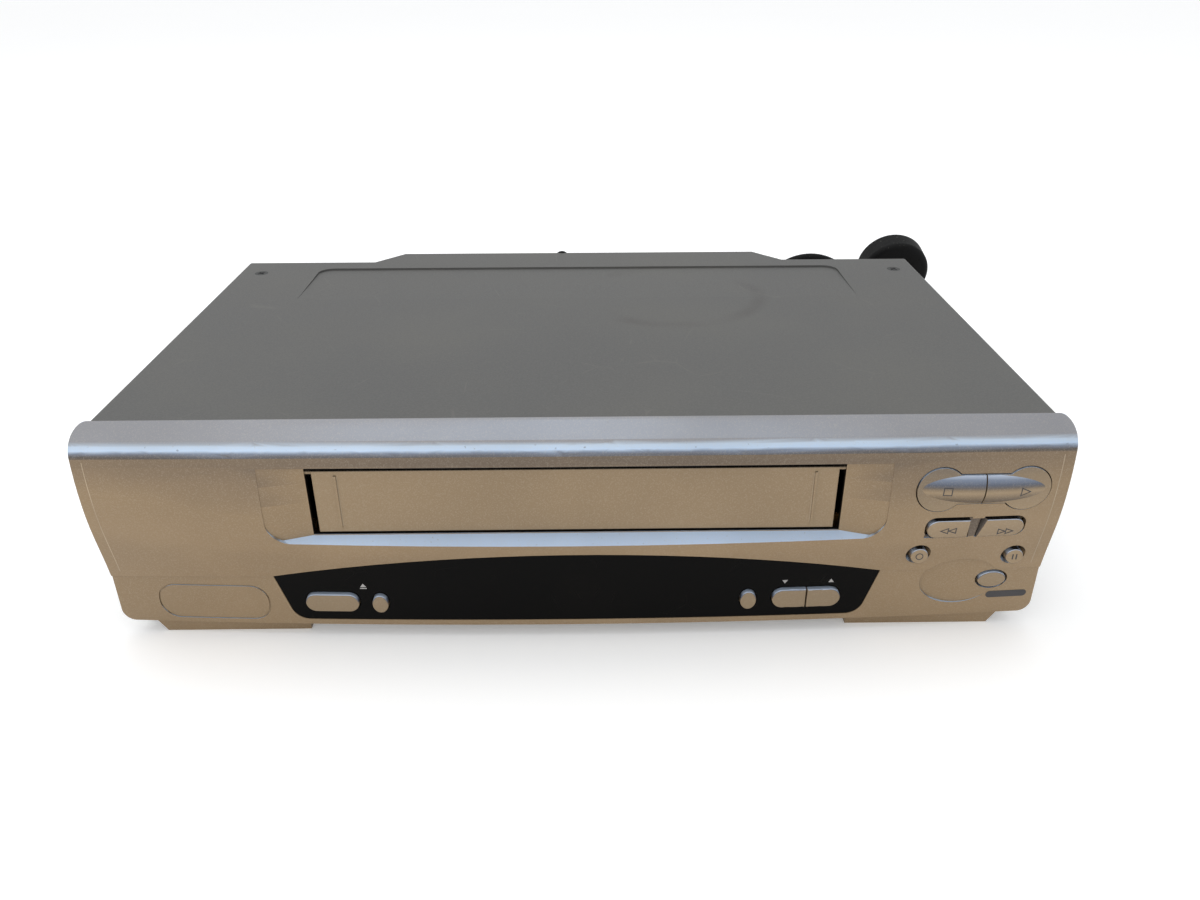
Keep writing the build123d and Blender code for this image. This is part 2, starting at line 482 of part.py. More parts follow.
with BuildPart() as front_panel:
    add(outer_form.part)
    add(panel_cavity.part, mode=Mode.SUBTRACT)
    add(rear_flange.part)
    with BuildSketch(across(BACK - TONGUE_T / 4)) as tongue:
        rect(-TONGUE_HALF, TONGUE_HALF, TONGUE_BOTTOM, TONGUE_TOP)
        fillet(tongue.vertices().group_by(Axis.Y)[-1], BEND_R - SHEET)
        rect(TONGUE_T - TONGUE_HALF, TONGUE_HALF - TONGUE_T, 0, TONGUE_TOP - TONGUE_T, Mode.SUBTRACT)
    extrude(amount=-(TONGUE_REACH + TONGUE_T / 4))
    add(recess_space.part, mode=Mode.SUBTRACT)
    add(wind_pocket.part, mode=Mode.SUBTRACT)
    for side in (-1, 1):
        near, far = side * SLOT_W / 2, side * (SLOT_W / 2 + LUG_T)
        top = FLAP_PIN_Z + LUG_H / 2
        add(block((min(near, far), FLAP_Y, top - LUG_H), (max(near, far), FLAP_Y + LUG_DEPTH, top)))
        add(
            rod((near, FLAP_PIN_Y, FLAP_PIN_Z), (far, FLAP_PIN_Y, FLAP_PIN_Z), FLAP_PIN_R + RUNNING),
            mode=Mode.SUBTRACT,
        )
    with BuildSketch(across(FACE_Y)):
        rect(-SLOT_W / 2, SLOT_W / 2, SLOT_BOTTOM, SLOT_TOP)
    extrude(amount=-(RECESS_DEPTH + WALL + 0.1), mode=Mode.SUBTRACT)
    add(WINDOW_SPACE, mode=Mode.SUBTRACT)
    add(prism(transport_outline(BUTTON_GAP), CLEAR, BACK - TONGUE_T), mode=Mode.SUBTRACT)
    for side in (-1, 1):
        hole = prism(wind_outline(side, LOOSE_GAP), CLEAR, BACK - TONGUE_T)
        add(hole.moved(Location((0, 0, WIND_LIFT))), mode=Mode.SUBTRACT)
    add(prism(RETURN_HOLE, CLEAR, BACK), mode=Mode.SUBTRACT)
    for x, z in ROUND_PLACES:
        y = face_y(x, z)
        add(rod((x, CLEAR, z), (x, BACK, z), ROUND_R + BUTTON_GAP), mode=Mode.SUBTRACT)
        add(rod((x, CLEAR, z), (x, y, z), DISH_R), mode=Mode.SUBTRACT)
        with Locations(Plane(origin=(x, y, z), z_dir=(0, 1, 0))):
            Cone(DISH_R, ROUND_R + BUTTON_GAP, DISH_DEPTH, align=ON_BASE, mode=Mode.SUBTRACT)
    add(thumb_dish.part, mode=Mode.SUBTRACT)
    add(badge_groove.part, mode=Mode.SUBTRACT)
save(front_panel, "front_panel")

# --- Flap and window -------------------------------------------------------------------------
with BuildPart() as cassette_flap:
    add(block((-FLAP_W / 2, FLAP_Y, FLAP_BOTTOM), (FLAP_W / 2, FLAP_Y + FLAP_T, FLAP_TOP)))
    fillet(cassette_flap.faces().sort_by(Axis.Y)[0].edges(), FLAP_EDGE_R)
    for side in (-1, 1):
        inner, outer = side * (FLAP_W / 2 - FLAP_PIN_REACH), side * (FLAP_W / 2 + FLAP_PIN_REACH)
        add(rod((inner, FLAP_PIN_Y, FLAP_PIN_Z), (outer, FLAP_PIN_Y, FLAP_PIN_Z), FLAP_PIN_R))
        add(
            block(
                (side * RIDGE_X - RIDGE_W / 2, FLAP_Y - RIDGE_PROUD, FLAP_BOTTOM + RIDGE_MARGIN),
                (side * RIDGE_X + RIDGE_W / 2, FLAP_Y + FLAP_T / 2, FLAP_TOP - RIDGE_MARGIN),
            )
        )
save(cassette_flap, "cassette_flap")

FLANGE_FRONT = WALL + PIECE_GAP  # the window's flange behind the lower wall
WINDOW_BACK = FLANGE_FRONT + WINDOW_FLANGE_T
with BuildPart() as window_flange:
    add(lower_body(FLANGE_FRONT, BACK, HALF, WINDOW_BOTTOM, JOIN_H - WALL - PIECE_GAP))
    add(prism(window_outline(WINDOW_FLANGE), CLEAR, BACK), mode=Mode.INTERSECT)

with BuildPart() as display_window:
    add(lower_body(WINDOW_SET_BACK, BACK, HALF, WINDOW_BOTTOM, JOIN_H))
    add(prism(window_outline(0), CLEAR, BACK), mode=Mode.INTERSECT)
    add(window_flange.part)
    add(lower_body(WINDOW_BACK, BACK + 1, HALF, 0, CASE_H), mode=Mode.SUBTRACT)
    for left, right, z, height, _ in WINDOW_BUTTONS.values():
        add(prism(pill_outline(left, right, z, height, None, BUTTON_GAP), CLEAR, BACK), mode=Mode.SUBTRACT)
save(display_window, "display_window")

# --- Buttons: a cap cut from the form of the face, a flange behind the wall, and a stem ------
STEMS = {}


def finish_button(made, name, flange, seat, x, z):
    """Adds the flange and the stem behind a cap, and saves the button."""
    with made:
        add(prism(flange, seat, seat + FLANGE_T))
        add(rod((x, seat, z), (x, STEM_END, z), STEM_R))
    STEMS[name] = (x, z)
    save(made, name)


for name, (left, right, z, height, cut) in WINDOW_BUTTONS.items():
    x = (left + right) / 2 + {None: 0, "right": -1, "left": 1}[cut] * (right - left) / 4
    seat = max(lower_y(left), lower_y(right)) + WINDOW_BACK + BUTTON_GAP
    with BuildPart() as window_button:
        add(lower_body(-WINDOW_BUTTON_PROUD, BACK, HALF, FOOT_H, JOIN_H))
        add(prism(pill_outline(left, right, z, height, cut, 0), CLEAR, seat), mode=Mode.INTERSECT)
        fillet(window_button.faces().sort_by(Axis.Y)[0].edges(), CAP_R)
    finish_button(window_button, name, pill_outline(left, right, z, height, cut, FLANGE_OUT), seat, x, z)

PROUD_FORM = outer_form.part.moved(Location((0, -PANEL_BUTTON_PROUD, 0)))
BAR_ENDS = (STOP_X - BAR_OVERHANG, PLAY_X + BAR_OVERHANG)
BAR_CURVE_R = (BAR_H**2 / 4 + BAR_PROUD**2) / (2 * BAR_PROUD)
SPLIT_X = (STOP_X + PLAY_X) / 2
disc_seat = face_y(PLAY_X + DISC_R, DISC_Z) + WALL + BUTTON_GAP
bar_front = [(x, face_y(x, BAR_Z) - PANEL_BUTTON_PROUD) for x in BAR_ENDS]
crown = (bar_front[0][1] + bar_front[1][1]) / 2 - BAR_PROUD
bar_axis_y = crown + BAR_CURVE_R
with BuildPart() as transport_bar:
    with BuildSketch(Plane.XY.offset(BAR_Z)):
        with BuildLine():
            arch = ThreePointArc(bar_front[0], (SPLIT_X, crown), bar_front[1])
            Polyline(arch @ 1, (BAR_ENDS[1], bar_axis_y), (BAR_ENDS[0], bar_axis_y), arch @ 0)
        make_face()
    revolve(axis=Axis((BAR_ENDS[0], bar_axis_y, BAR_Z), (1, 0, 0)))
    add(prism(pill_outline(*BAR_ENDS, BAR_Z, BAR_H, None, 0), CLEAR, disc_seat), mode=Mode.INTERSECT)
with BuildPart() as transport_caps:
    add(PROUD_FORM)
    add(prism(transport_outline(0), CLEAR, disc_seat), mode=Mode.INTERSECT)
    add(transport_bar.part)
    add(prism(transport_outline(FLANGE_OUT / 2), disc_seat, disc_seat + FLANGE_T))
for name, x, side in (("stop_button", STOP_X, -1), ("play_button", PLAY_X, 1)):
    near, far = SPLIT_X + side * HALVES_GAP / 2, SPLIT_X + side * (PLAY_X - STOP_X)
    with BuildPart() as transport_button:
        add(transport_caps.part)
        half = block((min(near, far), CLEAR, 0), (max(near, far), BACK, CASE_H))
        add(half, mode=Mode.INTERSECT)
    with transport_button:
        add(rod((x, disc_seat, DISC_Z), (x, STEM_END, DISC_Z), STEM_R))
    STEMS[name] = (x, DISC_Z)
    save(transport_button, name)

wind_seat = face_y(WIND_RIGHT, WIND_BOTTOM) + WALL + BUTTON_GAP
for name, side, outer, inner in (
    ("rewind_button", -1, WIND_LEFT, WIND_SPLIT_L),
    ("fast_forward_button", 1, WIND_RIGHT, WIND_SPLIT_R),
):
    with BuildPart() as wind_button:
        add(outer_form.part.moved(Location((0, -WIND_PROUD, 0))))
        add(prism(wind_outline(side, 0), CLEAR, wind_seat), mode=Mode.INTERSECT)
        fillet(wind_button.faces().sort_by(Axis.Y)[0].edges(), CAP_R)
    x, z = (outer + inner) / 2, (WIND_BOTTOM + WIND_TOP) / 2
    finish_button(wind_button, name, wind_outline(side, FLANGE_OUT), wind_seat, x, z)

for name, (x, z) in zip(("record_button", "pause_button"), ROUND_PLACES):
    seat = lower_y(x + ROUND_R + FLANGE_OUT) + WALL + BUTTON_GAP
    with BuildPart() as round_button:
        add(rod((x, face_y(x, z) - ROUND_PROUD, z), (x, seat, z), ROUND_R))
        fillet(round_button.faces().sort_by(Axis.Y)[0].edges(), CAP_R)
    finish_button(round_button, name, oval_outline(x, z, *[ROUND_R + FLANGE_OUT] * 2), seat, x, z)

with BuildPart() as return_button:
    seat = lower_y(RETURN_X + RETURN_RX) + WALL + BUTTON_GAP
    add(lower_body(-RETURN_PROUD, BACK, HALF, FOOT_H, JOIN_H))
    add(prism(oval_outline(RETURN_X, RETURN_Z, RETURN_RX, RETURN_RZ), CLEAR, seat), mode=Mode.INTERSECT)
    fillet(return_button.faces().sort_by(Axis.Y)[0].edges(), CAP_R)
return_flange = oval_outline(RETURN_X, RETURN_Z, RETURN_RX + FLANGE_OUT, RETURN_RZ + FLANGE_OUT)
finish_button(return_button, "auto_return_button", return_flange, seat, RETURN_X, RETURN_Z)

# --- Front circuit board ---------------------------------------------------------------------
with BuildPart() as front_board:
    with BuildSketch(across(BOARD_Y)):
        rect(-BOARD_HALF, BOARD_HALF, BOARD_BOTTOM, BOARD_STEP_Z)
        rect(BOARD_STEP_X, BOARD_HALF, BOARD_STEP_Z - 1, BOARD_TOP)
    extrude(amount=-BOARD_T)
save(front_board, "front_board")

with BuildPart() as tact_switches:
    for x, z in STEMS.values():
        y, half = BOARD_Y - SWITCH_H, SWITCH_W / 2
        add(block((x - half, y, z - half), (x + half, BOARD_Y, z + half)))
        add(rod((x, y - PLUNGER_H, z), (x, y, z), PLUNGER_R))
save(tact_switches, "tact_switches")

with BuildPart() as display_tube:
    y = BOARD_Y - TUBE_LIFT
    add(block((-TUBE_HALF, y - TUBE_T, TUBE_LOW), (TUBE_HALF, y, TUBE_HIGH)))
    fillet(display_tube.edges().filter_by(Axis.Y), TUBE_R)
    for k in range(TUBE_LEGS):
        x = TUBE_HALF * ((2 * k + 1) / TUBE_LEGS - 1)
        add(block((x - LEG_W / 2, y - 1, TUBE_LOW + 1), (x + LEG_W / 2, BOARD_Y, TUBE_LOW + 1 + LEG_W)))
save(display_tube, "display_tube")

# --- Cover, tray, feet and rear panel --------------------------------------------------------
SIDE_Y, CENTRE_Y = FACE_Y + SIDE_DEPTH, FACE_Y + CENTRE_DEPTH


def case_plan(inset):
    """Plan of the case, whose rear steps out in the middle, set in by a margin."""
    half, front = CASE_W / 2, CLEAR - inset
    with BuildSketch(mode=Mode.PRIVATE) as plan:
        with BuildLine():
            Polyline(
                (-half, front),
                (half, front),
                (half, SIDE_Y),
                (TAPER_HALF, SIDE_Y),
                (CENTRE_HALF, CENTRE_Y),
                (-CENTRE_HALF, CENTRE_Y),
                (-TAPER_HALF, SIDE_Y),
                (-half, SIDE_Y),
                close=True,
            )
        make_face()
        if inset:
            offset(amount=-inset, kind=Kind.INTERSECTION)
    return plan


def upright(plan, bottom, top):
    """A plan run from one height to another."""
    with BuildPart(mode=Mode.PRIVATE) as body:
        with BuildSketch(Plane.XY.offset(bottom)):
            add(plan.sketch_local)
        extrude(amount=top - bottom)
    return body.part


def emboss(top, margin):
    """The wedge of a pressed panel whose floor falls to the rear, under a given height."""
    front, back = FACE_Y + EMBOSS_FRONT, FACE_Y + EMBOSS_BACK + margin
    fall = EMBOSS_DEPTH * (back - front) / (EMBOSS_BACK - EMBOSS_FRONT)
    with BuildPart(mode=Mode.PRIVATE) as wedge:
        with BuildSketch(Plane.YZ.offset(-EMBOSS_HALF - margin)):
            with BuildLine():
                Polyline((front, top), (back, top - fall), (back, top), close=True)
            make_face()
        extrude(amount=2 * (EMBOSS_HALF + margin))
        fillet(wedge.edges().filter_by(Axis.Z), EMBOSS_R + margin)
    return wedge.part


def sunk_head(x, y):
    """The head of a countersunk screw, as deep as the sheet and flush with the cover's top."""
    with BuildPart(mode=Mode.PRIVATE) as head:
        with Locations((x, y, CASE_H - SHEET)):
            Cone(SCREW_SINK_R, SCREW_HEAD_R, SHEET, align=ON_BASE)
    return head.part


INNER_HALF = CASE_W / 2 - SHEET
with BuildPart() as cover_shell:
    for half, top, radius, mode in (
        (CASE_W / 2, CASE_H, BEND_R, Mode.ADD),
        (INNER_HALF, CASE_H - SHEET, BEND_R - SHEET, Mode.SUBTRACT),
    ):
        with BuildSketch(across(BACK)) as arch:
            rect(-half, half, 0, top)
            fillet(arch.vertices().group_by(Axis.Y)[-1], radius)
        extrude(amount=BACK - CENTRE_Y, mode=mode)

with BuildPart() as top_cover:
    add(cover_shell.part)
    add(emboss(CASE_H - SHEET, SHEET))
    add(emboss(CASE_H, 0), mode=Mode.SUBTRACT)
    add(upright(case_plan(0), COVER_BOTTOM, CASE_H), mode=Mode.INTERSECT)
    ear_left, ear_right = REAR_SCREW_X - EAR_W / 2, REAR_SCREW_X + EAR_W / 2
    add(block((ear_left, CENTRE_Y - SHEET, CASE_H - EAR_H), (ear_right, CENTRE_Y, CASE_H)))
    for side in (-1, 1):
        x, y = side * SCREW_X, FACE_Y + SCREW_DEPTH
        add(sunk_head(x, y), mode=Mode.SUBTRACT)
    ends = [(REAR_SCREW_X, CENTRE_Y + shift, REAR_SCREW_Z) for shift in (-BEND_R, 1)]
    add(rod(*ends, SCREW_R + HOLE_GAP), mode=Mode.SUBTRACT)
save(top_cover, "top_cover")

TRAY_INSET = SHEET + PIECE_GAP
TRAY_TOP = FOOT_H + TRAY_T
with BuildPart() as base_tray:
    add(upright(case_plan(TRAY_INSET), FOOT_H, TRAY_TOP))
    for side in (-1, 1):
        outer, inner = side * (CASE_W / 2 - TRAY_INSET), side * (CASE_W / 2 - TRAY_INSET - TRAY_T)
        wall_back = SIDE_Y - TRAY_INSET - REAR_RETURN - PIECE_GAP
        add(block((min(outer, inner), BACK, FOOT_H), (max(outer, inner), wall_back, TRAY_WALL_H)))
    add(block((-HALF, CLEAR - 2, 0), (HALF, BACK, CASE_H)), mode=Mode.SUBTRACT)
    for x, depth in POST_PLACES:
        add(rod((x, FACE_Y + depth, FOOT_H), (x, FACE_Y + depth, MAIN_Z), POST_R))
    for x in (-PILLAR_X, PILLAR_X):
        for depth in PILLAR_DEPTHS:
            add(rod((x, FACE_Y + depth, FOOT_H), (x, FACE_Y + depth, DECK_Z), PILLAR_R))
save(base_tray, "base_tray")

with BuildPart() as front_feet:
    for side in (-1, 1):
        with BuildSketch(across(FACE_Y + FRONT_FOOT_FRONT)):
            with BuildLine():
                Polyline(
                    (side * FRONT_FOOT_IN, 0),
                    (side * (FRONT_FOOT_OUT - FRONT_FOOT_SLANT), 0),
                    (side * FRONT_FOOT_OUT, FOOT_H),
                    (side * FRONT_FOOT_IN, FOOT_H),
                    close=True,
                )
            make_face()
        extrude(amount=FRONT_FOOT_FRONT - FRONT_FOOT_BACK)
    plinth_y, plinth_back = FACE_Y + PLINTH_FRONT, FACE_Y + FRONT_FOOT_BACK
    add(block((-FRONT_FOOT_IN - 1, plinth_y, PLINTH_LIFT), (FRONT_FOOT_IN + 1, plinth_back, FOOT_H)))
save(front_feet, "front_feet")

with BuildPart() as rear_feet:
    for x in (-REAR_FOOT_X, REAR_FOOT_X):
        add(rod((x, FACE_Y + REAR_FOOT_DEPTH, 0), (x, FACE_Y + REAR_FOOT_DEPTH, FOOT_H), REAR_FOOT_R))
    chamfer(rear_feet.faces().group_by(Axis.Z)[0].edges(), FOOT_H / 5)
save(rear_feet, "rear_feet")

SOCKET_Y = CENTRE_Y + SOCKET_REACH
REAR_OUT, REAR_IN = CENTRE_Y - TRAY_INSET, CENTRE_Y - TRAY_INSET - REAR_T
REAR_TOP = CASE_H - SHEET - EMBOSS_DEPTH / 2
GLAND_Y = FACE_Y + RELIEF_DEPTH
with BuildPart() as rear_panel:
    add(upright(case_plan(TRAY_INSET), TRAY_TOP, REAR_TOP))
    add(upright(case_plan(TRAY_INSET + REAR_T), 0, CASE_H), mode=Mode.SUBTRACT)
    add(block((-HALF, CLEAR - 2, 0), (HALF, SIDE_Y - TRAY_INSET - REAR_RETURN, CASE_H)), mode=Mode.SUBTRACT)
    for side in (-1, 1):
        x, y = side * SCREW_X, FACE_Y + SCREW_DEPTH
        tab_back = SIDE_Y - TRAY_INSET
        add(block((x - TAB_W / 2, y - TAB_W / 2, REAR_TOP - TAB_T), (x + TAB_W / 2, tab_back, REAR_TOP)))
        add(rod((x, y, 0), (x, y, CASE_H), SCREW_R + HOLE_GAP), mode=Mode.SUBTRACT)
    openings = [(x, AV_Z, AV_R + COLLAR) for x in AV_PLACES]
    openings += [(AERIAL_X, z, AERIAL_R + COLLAR) for z in AERIAL_PLACES]
    openings += [(GLAND_X, GLAND_Z, GLAND_NECK_R - HOLE_GAP), (REAR_SCREW_X, REAR_SCREW_Z, SCREW_R)]
    for x, z, radius in openings:
        add(rod((x, SIDE_Y, z), (x, CENTRE_Y, z), radius + HOLE_GAP), mode=Mode.SUBTRACT)
    add(
        block(
            (SCART_LEFT - HOLE_GAP, SIDE_Y, SCART_BOTTOM - HOLE_GAP),
            (SCART_RIGHT + HOLE_GAP, CENTRE_Y, SCART_TOP + HOLE_GAP),
        ),
        mode=Mode.SUBTRACT,
    )
save(rear_panel, "rear_panel")

with BuildPart() as cover_screws:
    for x in (-SCREW_X, SCREW_X):
        y = FACE_Y + SCREW_DEPTH
        add(rod((x, y, CASE_H - SCREW_REACH), (x, y, CASE_H - SHEET / 2), SCREW_R))
        add(sunk_head(x, y))
    x, z = REAR_SCREW_X, REAR_SCREW_Z
    add(rod((x, CENTRE_Y - SCREW_REACH, z), (x, CENTRE_Y + 1, z), SCREW_R))
    add(rod((x, CENTRE_Y, z), (x, CENTRE_Y + REAR_HEAD_T, z), REAR_HEAD_R))
save(cover_screws, "cover_screws")

# --- Sockets ---------------------------------------------------------------------------------
with BuildPart() as av_sockets:
    left, right = AV_PLACES[0] - SOCKET_MARGIN, AV_PLACES[-1] + SOCKET_MARGIN
    low, high = AV_Z - AV_BLOCK_H / 2, AV_Z + AV_BLOCK_H / 2
    add(block((left, REAR_IN - AV_BLOCK_DEPTH, low), (right, REAR_IN, high)))
    for x in AV_PLACES:
        add(rod((x, REAR_IN - 1, AV_Z), (x, CENTRE_Y, AV_Z), AV_R + COLLAR))
        add(rod((x, CENTRE_Y, AV_Z), (x, SOCKET_Y, AV_Z), AV_R))
        add(rod((x, CENTRE_Y, AV_Z), (x, SOCKET_Y + 1, AV_Z), AV_BORE_R), mode=Mode.SUBTRACT)
save(av_sockets, "av_sockets")

with BuildPart() as scart_socket:
    back = CENTRE_Y + SCART_PROUD
    add(block((SCART_LEFT, REAR_IN - AV_BLOCK_DEPTH, SCART_BOTTOM), (SCART_RIGHT, back, SCART_TOP)))
    with BuildSketch(across(back)):
        with BuildLine():
            low, high = SCART_BOTTOM + SCART_WALL, SCART_TOP - SCART_WALL
            slant = (high - low) / 2
            Polyline(
                (SCART_LEFT + SCART_WALL, low),
                (SCART_RIGHT - SCART_WALL, low),
                (SCART_RIGHT - SCART_WALL, high),
                (SCART_LEFT + SCART_WALL + slant, high),
                (SCART_LEFT + SCART_WALL, high - slant),
                close=True,
            )
        make_face()
    extrude(amount=SCART_HOLLOW, mode=Mode.SUBTRACT)
save(scart_socket, "scart_socket")

with BuildPart() as tuner_can:
    low = (AERIAL_X - CAN_HALF, REAR_IN - CAN_DEPTH, CAN_BOTTOM)
    add(block(low, (AERIAL_X + CAN_HALF, REAR_IN, CAN_TOP)))
    chamfer(tuner_can.edges().filter_by(Axis.Z), 1)
save(tuner_can, "tuner_can")

with BuildPart() as aerial_sockets:
    for z in AERIAL_PLACES:
        add(rod((AERIAL_X, REAR_IN, z), (AERIAL_X, CENTRE_Y, z), AERIAL_R + COLLAR))
        add(rod((AERIAL_X, CENTRE_Y, z), (AERIAL_X, SOCKET_Y, z), AERIAL_R))
        add(rod((AERIAL_X, CENTRE_Y, z), (AERIAL_X, SOCKET_Y + 1, z), AERIAL_BORE_R), mode=Mode.SUBTRACT)
save(aerial_sockets, "aerial_sockets")

# --- Main board ------------------------------------------------------------------------------
MAIN_TOP = MAIN_Z + MAIN_T
with BuildPart() as main_board:
    add(block((-MAIN_HALF, FACE_Y + MAIN_FRONT, MAIN_Z), (MAIN_HALF, FACE_Y + MAIN_BACK, MAIN_TOP)))
    for x in (-PILLAR_X, PILLAR_X):
        for depth in PILLAR_DEPTHS:
            y = FACE_Y + depth
            add(rod((x, y, 0), (x, y, DECK_Z), PILLAR_R + HOLE_GAP), mode=Mode.SUBTRACT)
save(main_board, "main_board")

with BuildPart() as board_components:
    for x, depth, radius, height in CANS:
        add(rod((x, FACE_Y + depth, MAIN_TOP), (x, FACE_Y + depth, MAIN_TOP + height), radius))
    for x, depth, width, length, height in BLOCKS:
        y = FACE_Y + depth
        low = (x - width / 2, y - length / 2, MAIN_TOP)
        add(block(low, (x + width / 2, y + length / 2, MAIN_TOP + height)))
    for x, depth in CHIPS:
        y = FACE_Y + depth
        low = (x - CHIP_W / 2, y - CHIP_L / 2, MAIN_TOP)
        add(block(low, (x + CHIP_W / 2, y + CHIP_L / 2, MAIN_TOP + CHIP_H)))
save(board_components, "board_components")

with BuildPart() as power_transformer:
    (left, front), (right, rear), height = TRANSFORMER
    lamination = (rear - front) / 4
    middle, top = FACE_Y + (front + rear) / 2, MAIN_TOP + height
    add(block((left, middle - lamination, MAIN_TOP), (right, middle + lamination, top)))
    winding_x = (right - left) / 5
    add(
        block(
            (left + winding_x, FACE_Y + front, MAIN_TOP + height / 5),
            (right - winding_x, FACE_Y + rear, top - height / 5),
        )
    )
    fillet(power_transformer.edges().filter_by(Axis.Z), 1)
save(power_transformer, "power_transformer")

with BuildPart() as heat_sink:
    y, top = FACE_Y + SINK_DEPTH, MAIN_TOP + SINK_H
    add(block((SINK_LEFT, y, MAIN_TOP), (SINK_RIGHT, y + SINK_T, top)))
    pitch = (SINK_RIGHT - SINK_LEFT - SINK_T) / (SINK_FINS - 1)
    for k in range(SINK_FINS):
        x = SINK_LEFT + k * pitch
        add(block((x, y - 3 * SINK_T, MAIN_TOP), (x + SINK_T, y, top)))
save(heat_sink, "heat_sink")

# --- Deck plate, brackets and cassette carriage ----------------------------------------------
DECK_TOP = DECK_Z + DECK_T
TURNING_Z = DECK_TOP + DECK_GAP  # underside of what turns on the deck
REEL_Y, IDLER_Y, DRUM_Y = FACE_Y + REEL_DEPTH, FACE_Y + IDLER_DEPTH, FACE_Y + DRUM_DEPTH
CAPSTAN_Y, PINCH_Y, CAM_Y = FACE_Y + CAPSTAN_DEPTH, FACE_Y + PINCH_DEPTH, FACE_Y + CAM_DEPTH
IDLER_ARM_Z = TURNING_Z + IDLER_WHEEL_T + DECK_GAP
AXLES = [
    (-REEL_X, REEL_Y, SPINDLE_TOP - 1),
    (REEL_X, REEL_Y, SPINDLE_TOP - 1),
    (0, IDLER_Y, IDLER_ARM_Z + ARM_T),
    (PINCH_X, PINCH_Y, PINCH_TOP),
    (CAM_X, CAM_Y, TURNING_Z + CAM_T),
]
with BuildPart() as deck_chassis:
    add(block((-DECK_HALF, FACE_Y + DECK_FRONT, DECK_Z), (DECK_HALF, FACE_Y + DECK_BACK, DECK_TOP)))
    for x, y, top in AXLES:
        add(rod((x, y, DECK_Z), (x, y, top), AXLE_R))
    hole = rod((CAPSTAN_X, CAPSTAN_Y, 0), (CAPSTAN_X, CAPSTAN_Y, DECK_TOP), BEARING_R + HOLE_GAP)
    add(hole, mode=Mode.SUBTRACT)
save(deck_chassis, "deck_chassis")

with BuildPart() as side_brackets:
    for side in (-1, 1):
        inner, outer = side * BRACKET_X, side * (BRACKET_X + BRACKET_T)
        front, rear = FACE_Y + DECK_FRONT, FACE_Y + BRACKET_BACK
        add(block((min(inner, outer), front, DECK_TOP), (max(inner, outer), rear, BRACKET_TOP)))
    with BuildSketch(Plane.YZ.offset(-HALF)):
        first, last = SLIDER_PIN_DEPTHS[0], SLIDER_PIN_DEPTHS[-1] + DRAW_IN
        slot_r = PIN_R + RUNNING
        with Locations((FACE_Y + (first + last) / 2, PIN_Z)):
            SlotOverall(last - first + 2 * slot_r + 1, 2 * slot_r)
    extrude(amount=2 * HALF, mode=Mode.SUBTRACT)
save(side_brackets, "side_brackets")

SIDE_FRONT, SIDE_BACK = FACE_Y + HOLDER_FRONT, FACE_Y + HOLDER_BACK
with BuildPart() as carriage_slider:
    reach = SLIDER_X + SLIDER_T
    for side in (-1, 1):
        inner, outer = side * SLIDER_X, side * reach
        add(block((min(inner, outer), SIDE_FRONT, SLIDER_BOTTOM), (max(inner, outer), SIDE_BACK, SLIDER_TOP)))
        for depth in SLIDER_PIN_DEPTHS:
            y = FACE_Y + depth
            end = side * (BRACKET_X + BRACKET_T / 2)
            add(rod((inner, y, PIN_Z), (end, y, PIN_Z), PIN_R))
    with BuildSketch(Plane.YZ.offset(-reach)):
        for depth in HOLDER_PIN_DEPTHS:
            with Locations((FACE_Y + depth, PIN_Z - LOWER / 2)):
                SlotOverall(LOWER + 2 * (PIN_R + RUNNING) + 1, 2 * (PIN_R + RUNNING), rotation=90)
    extrude(amount=2 * reach, mode=Mode.SUBTRACT)
    bridge_y = (FACE_Y + BRIDGE_FRONT, FACE_Y + BRIDGE_BACK)
    add(block((-SLIDER_X, bridge_y[0], SLIDER_TOP - SLIDER_T), (SLIDER_X, bridge_y[1], SLIDER_TOP)))
save(carriage_slider, "carriage_slider")

with BuildPart() as cassette_holder:
    roof_top = ROOF_BOTTOM + ROOF_T
    add(block((-HOLDER_HALF, SIDE_FRONT, ROOF_BOTTOM), (HOLDER_HALF, SIDE_BACK, roof_top)))
    for side in (-1, 1):
        outer, inner = side * HOLDER_HALF, side * (HOLDER_HALF - HOLDER_T)
        low = LEDGE_TOP - LEDGE_T
        add(block((min(outer, inner), SIDE_FRONT, low), (max(outer, inner), SIDE_BACK, roof_top)))
        ledge = side * LEDGE_IN
        add(block((min(outer, ledge), SIDE_FRONT, low), (max(outer, ledge), SIDE_BACK, LEDGE_TOP)))
        stop = side * STOP_IN
        add(block((min(inner, stop), SIDE_BACK - STOP_T, low), (max(inner, stop), SIDE_BACK, low + STOP_H)))
        for depth in HOLDER_PIN_DEPTHS:
            y = FACE_Y + depth
            end = side * (SLIDER_X + SLIDER_T / 2)
            add(rod((inner, y, PIN_Z), (end, y, PIN_Z), PIN_R))
save(cassette_holder, "cassette_holder")

# --- Reels and idler -------------------------------------------------------------------------
for name, x in (("supply_reel", -REEL_X), ("takeup_reel", REEL_X)):
    with BuildPart() as reel:
        disc_top = TURNING_Z + REEL_DISC_T
        add(rod((x, REEL_Y, TURNING_Z), (x, REEL_Y, disc_top), REEL_R))
        add(rod((x, REEL_Y, TURNING_Z), (x, REEL_Y, SPINDLE_TOP), SPINDLE_R))
        with PolarLocations(SPINDLE_R, SPLINES) as around:
            spline_places = [place.position for place in around.locations]
        for place in spline_places:
            foot = (x + place.X, REEL_Y + place.Y)
            add(rod((*foot, TURNING_Z), (*foot, SPINDLE_TOP - 2), SPLINE_OUT / 2))
        add(rod((x, REEL_Y, 0), (x, REEL_Y, CASE_H), AXLE_R + RUNNING), mode=Mode.SUBTRACT)
    save(reel, name)

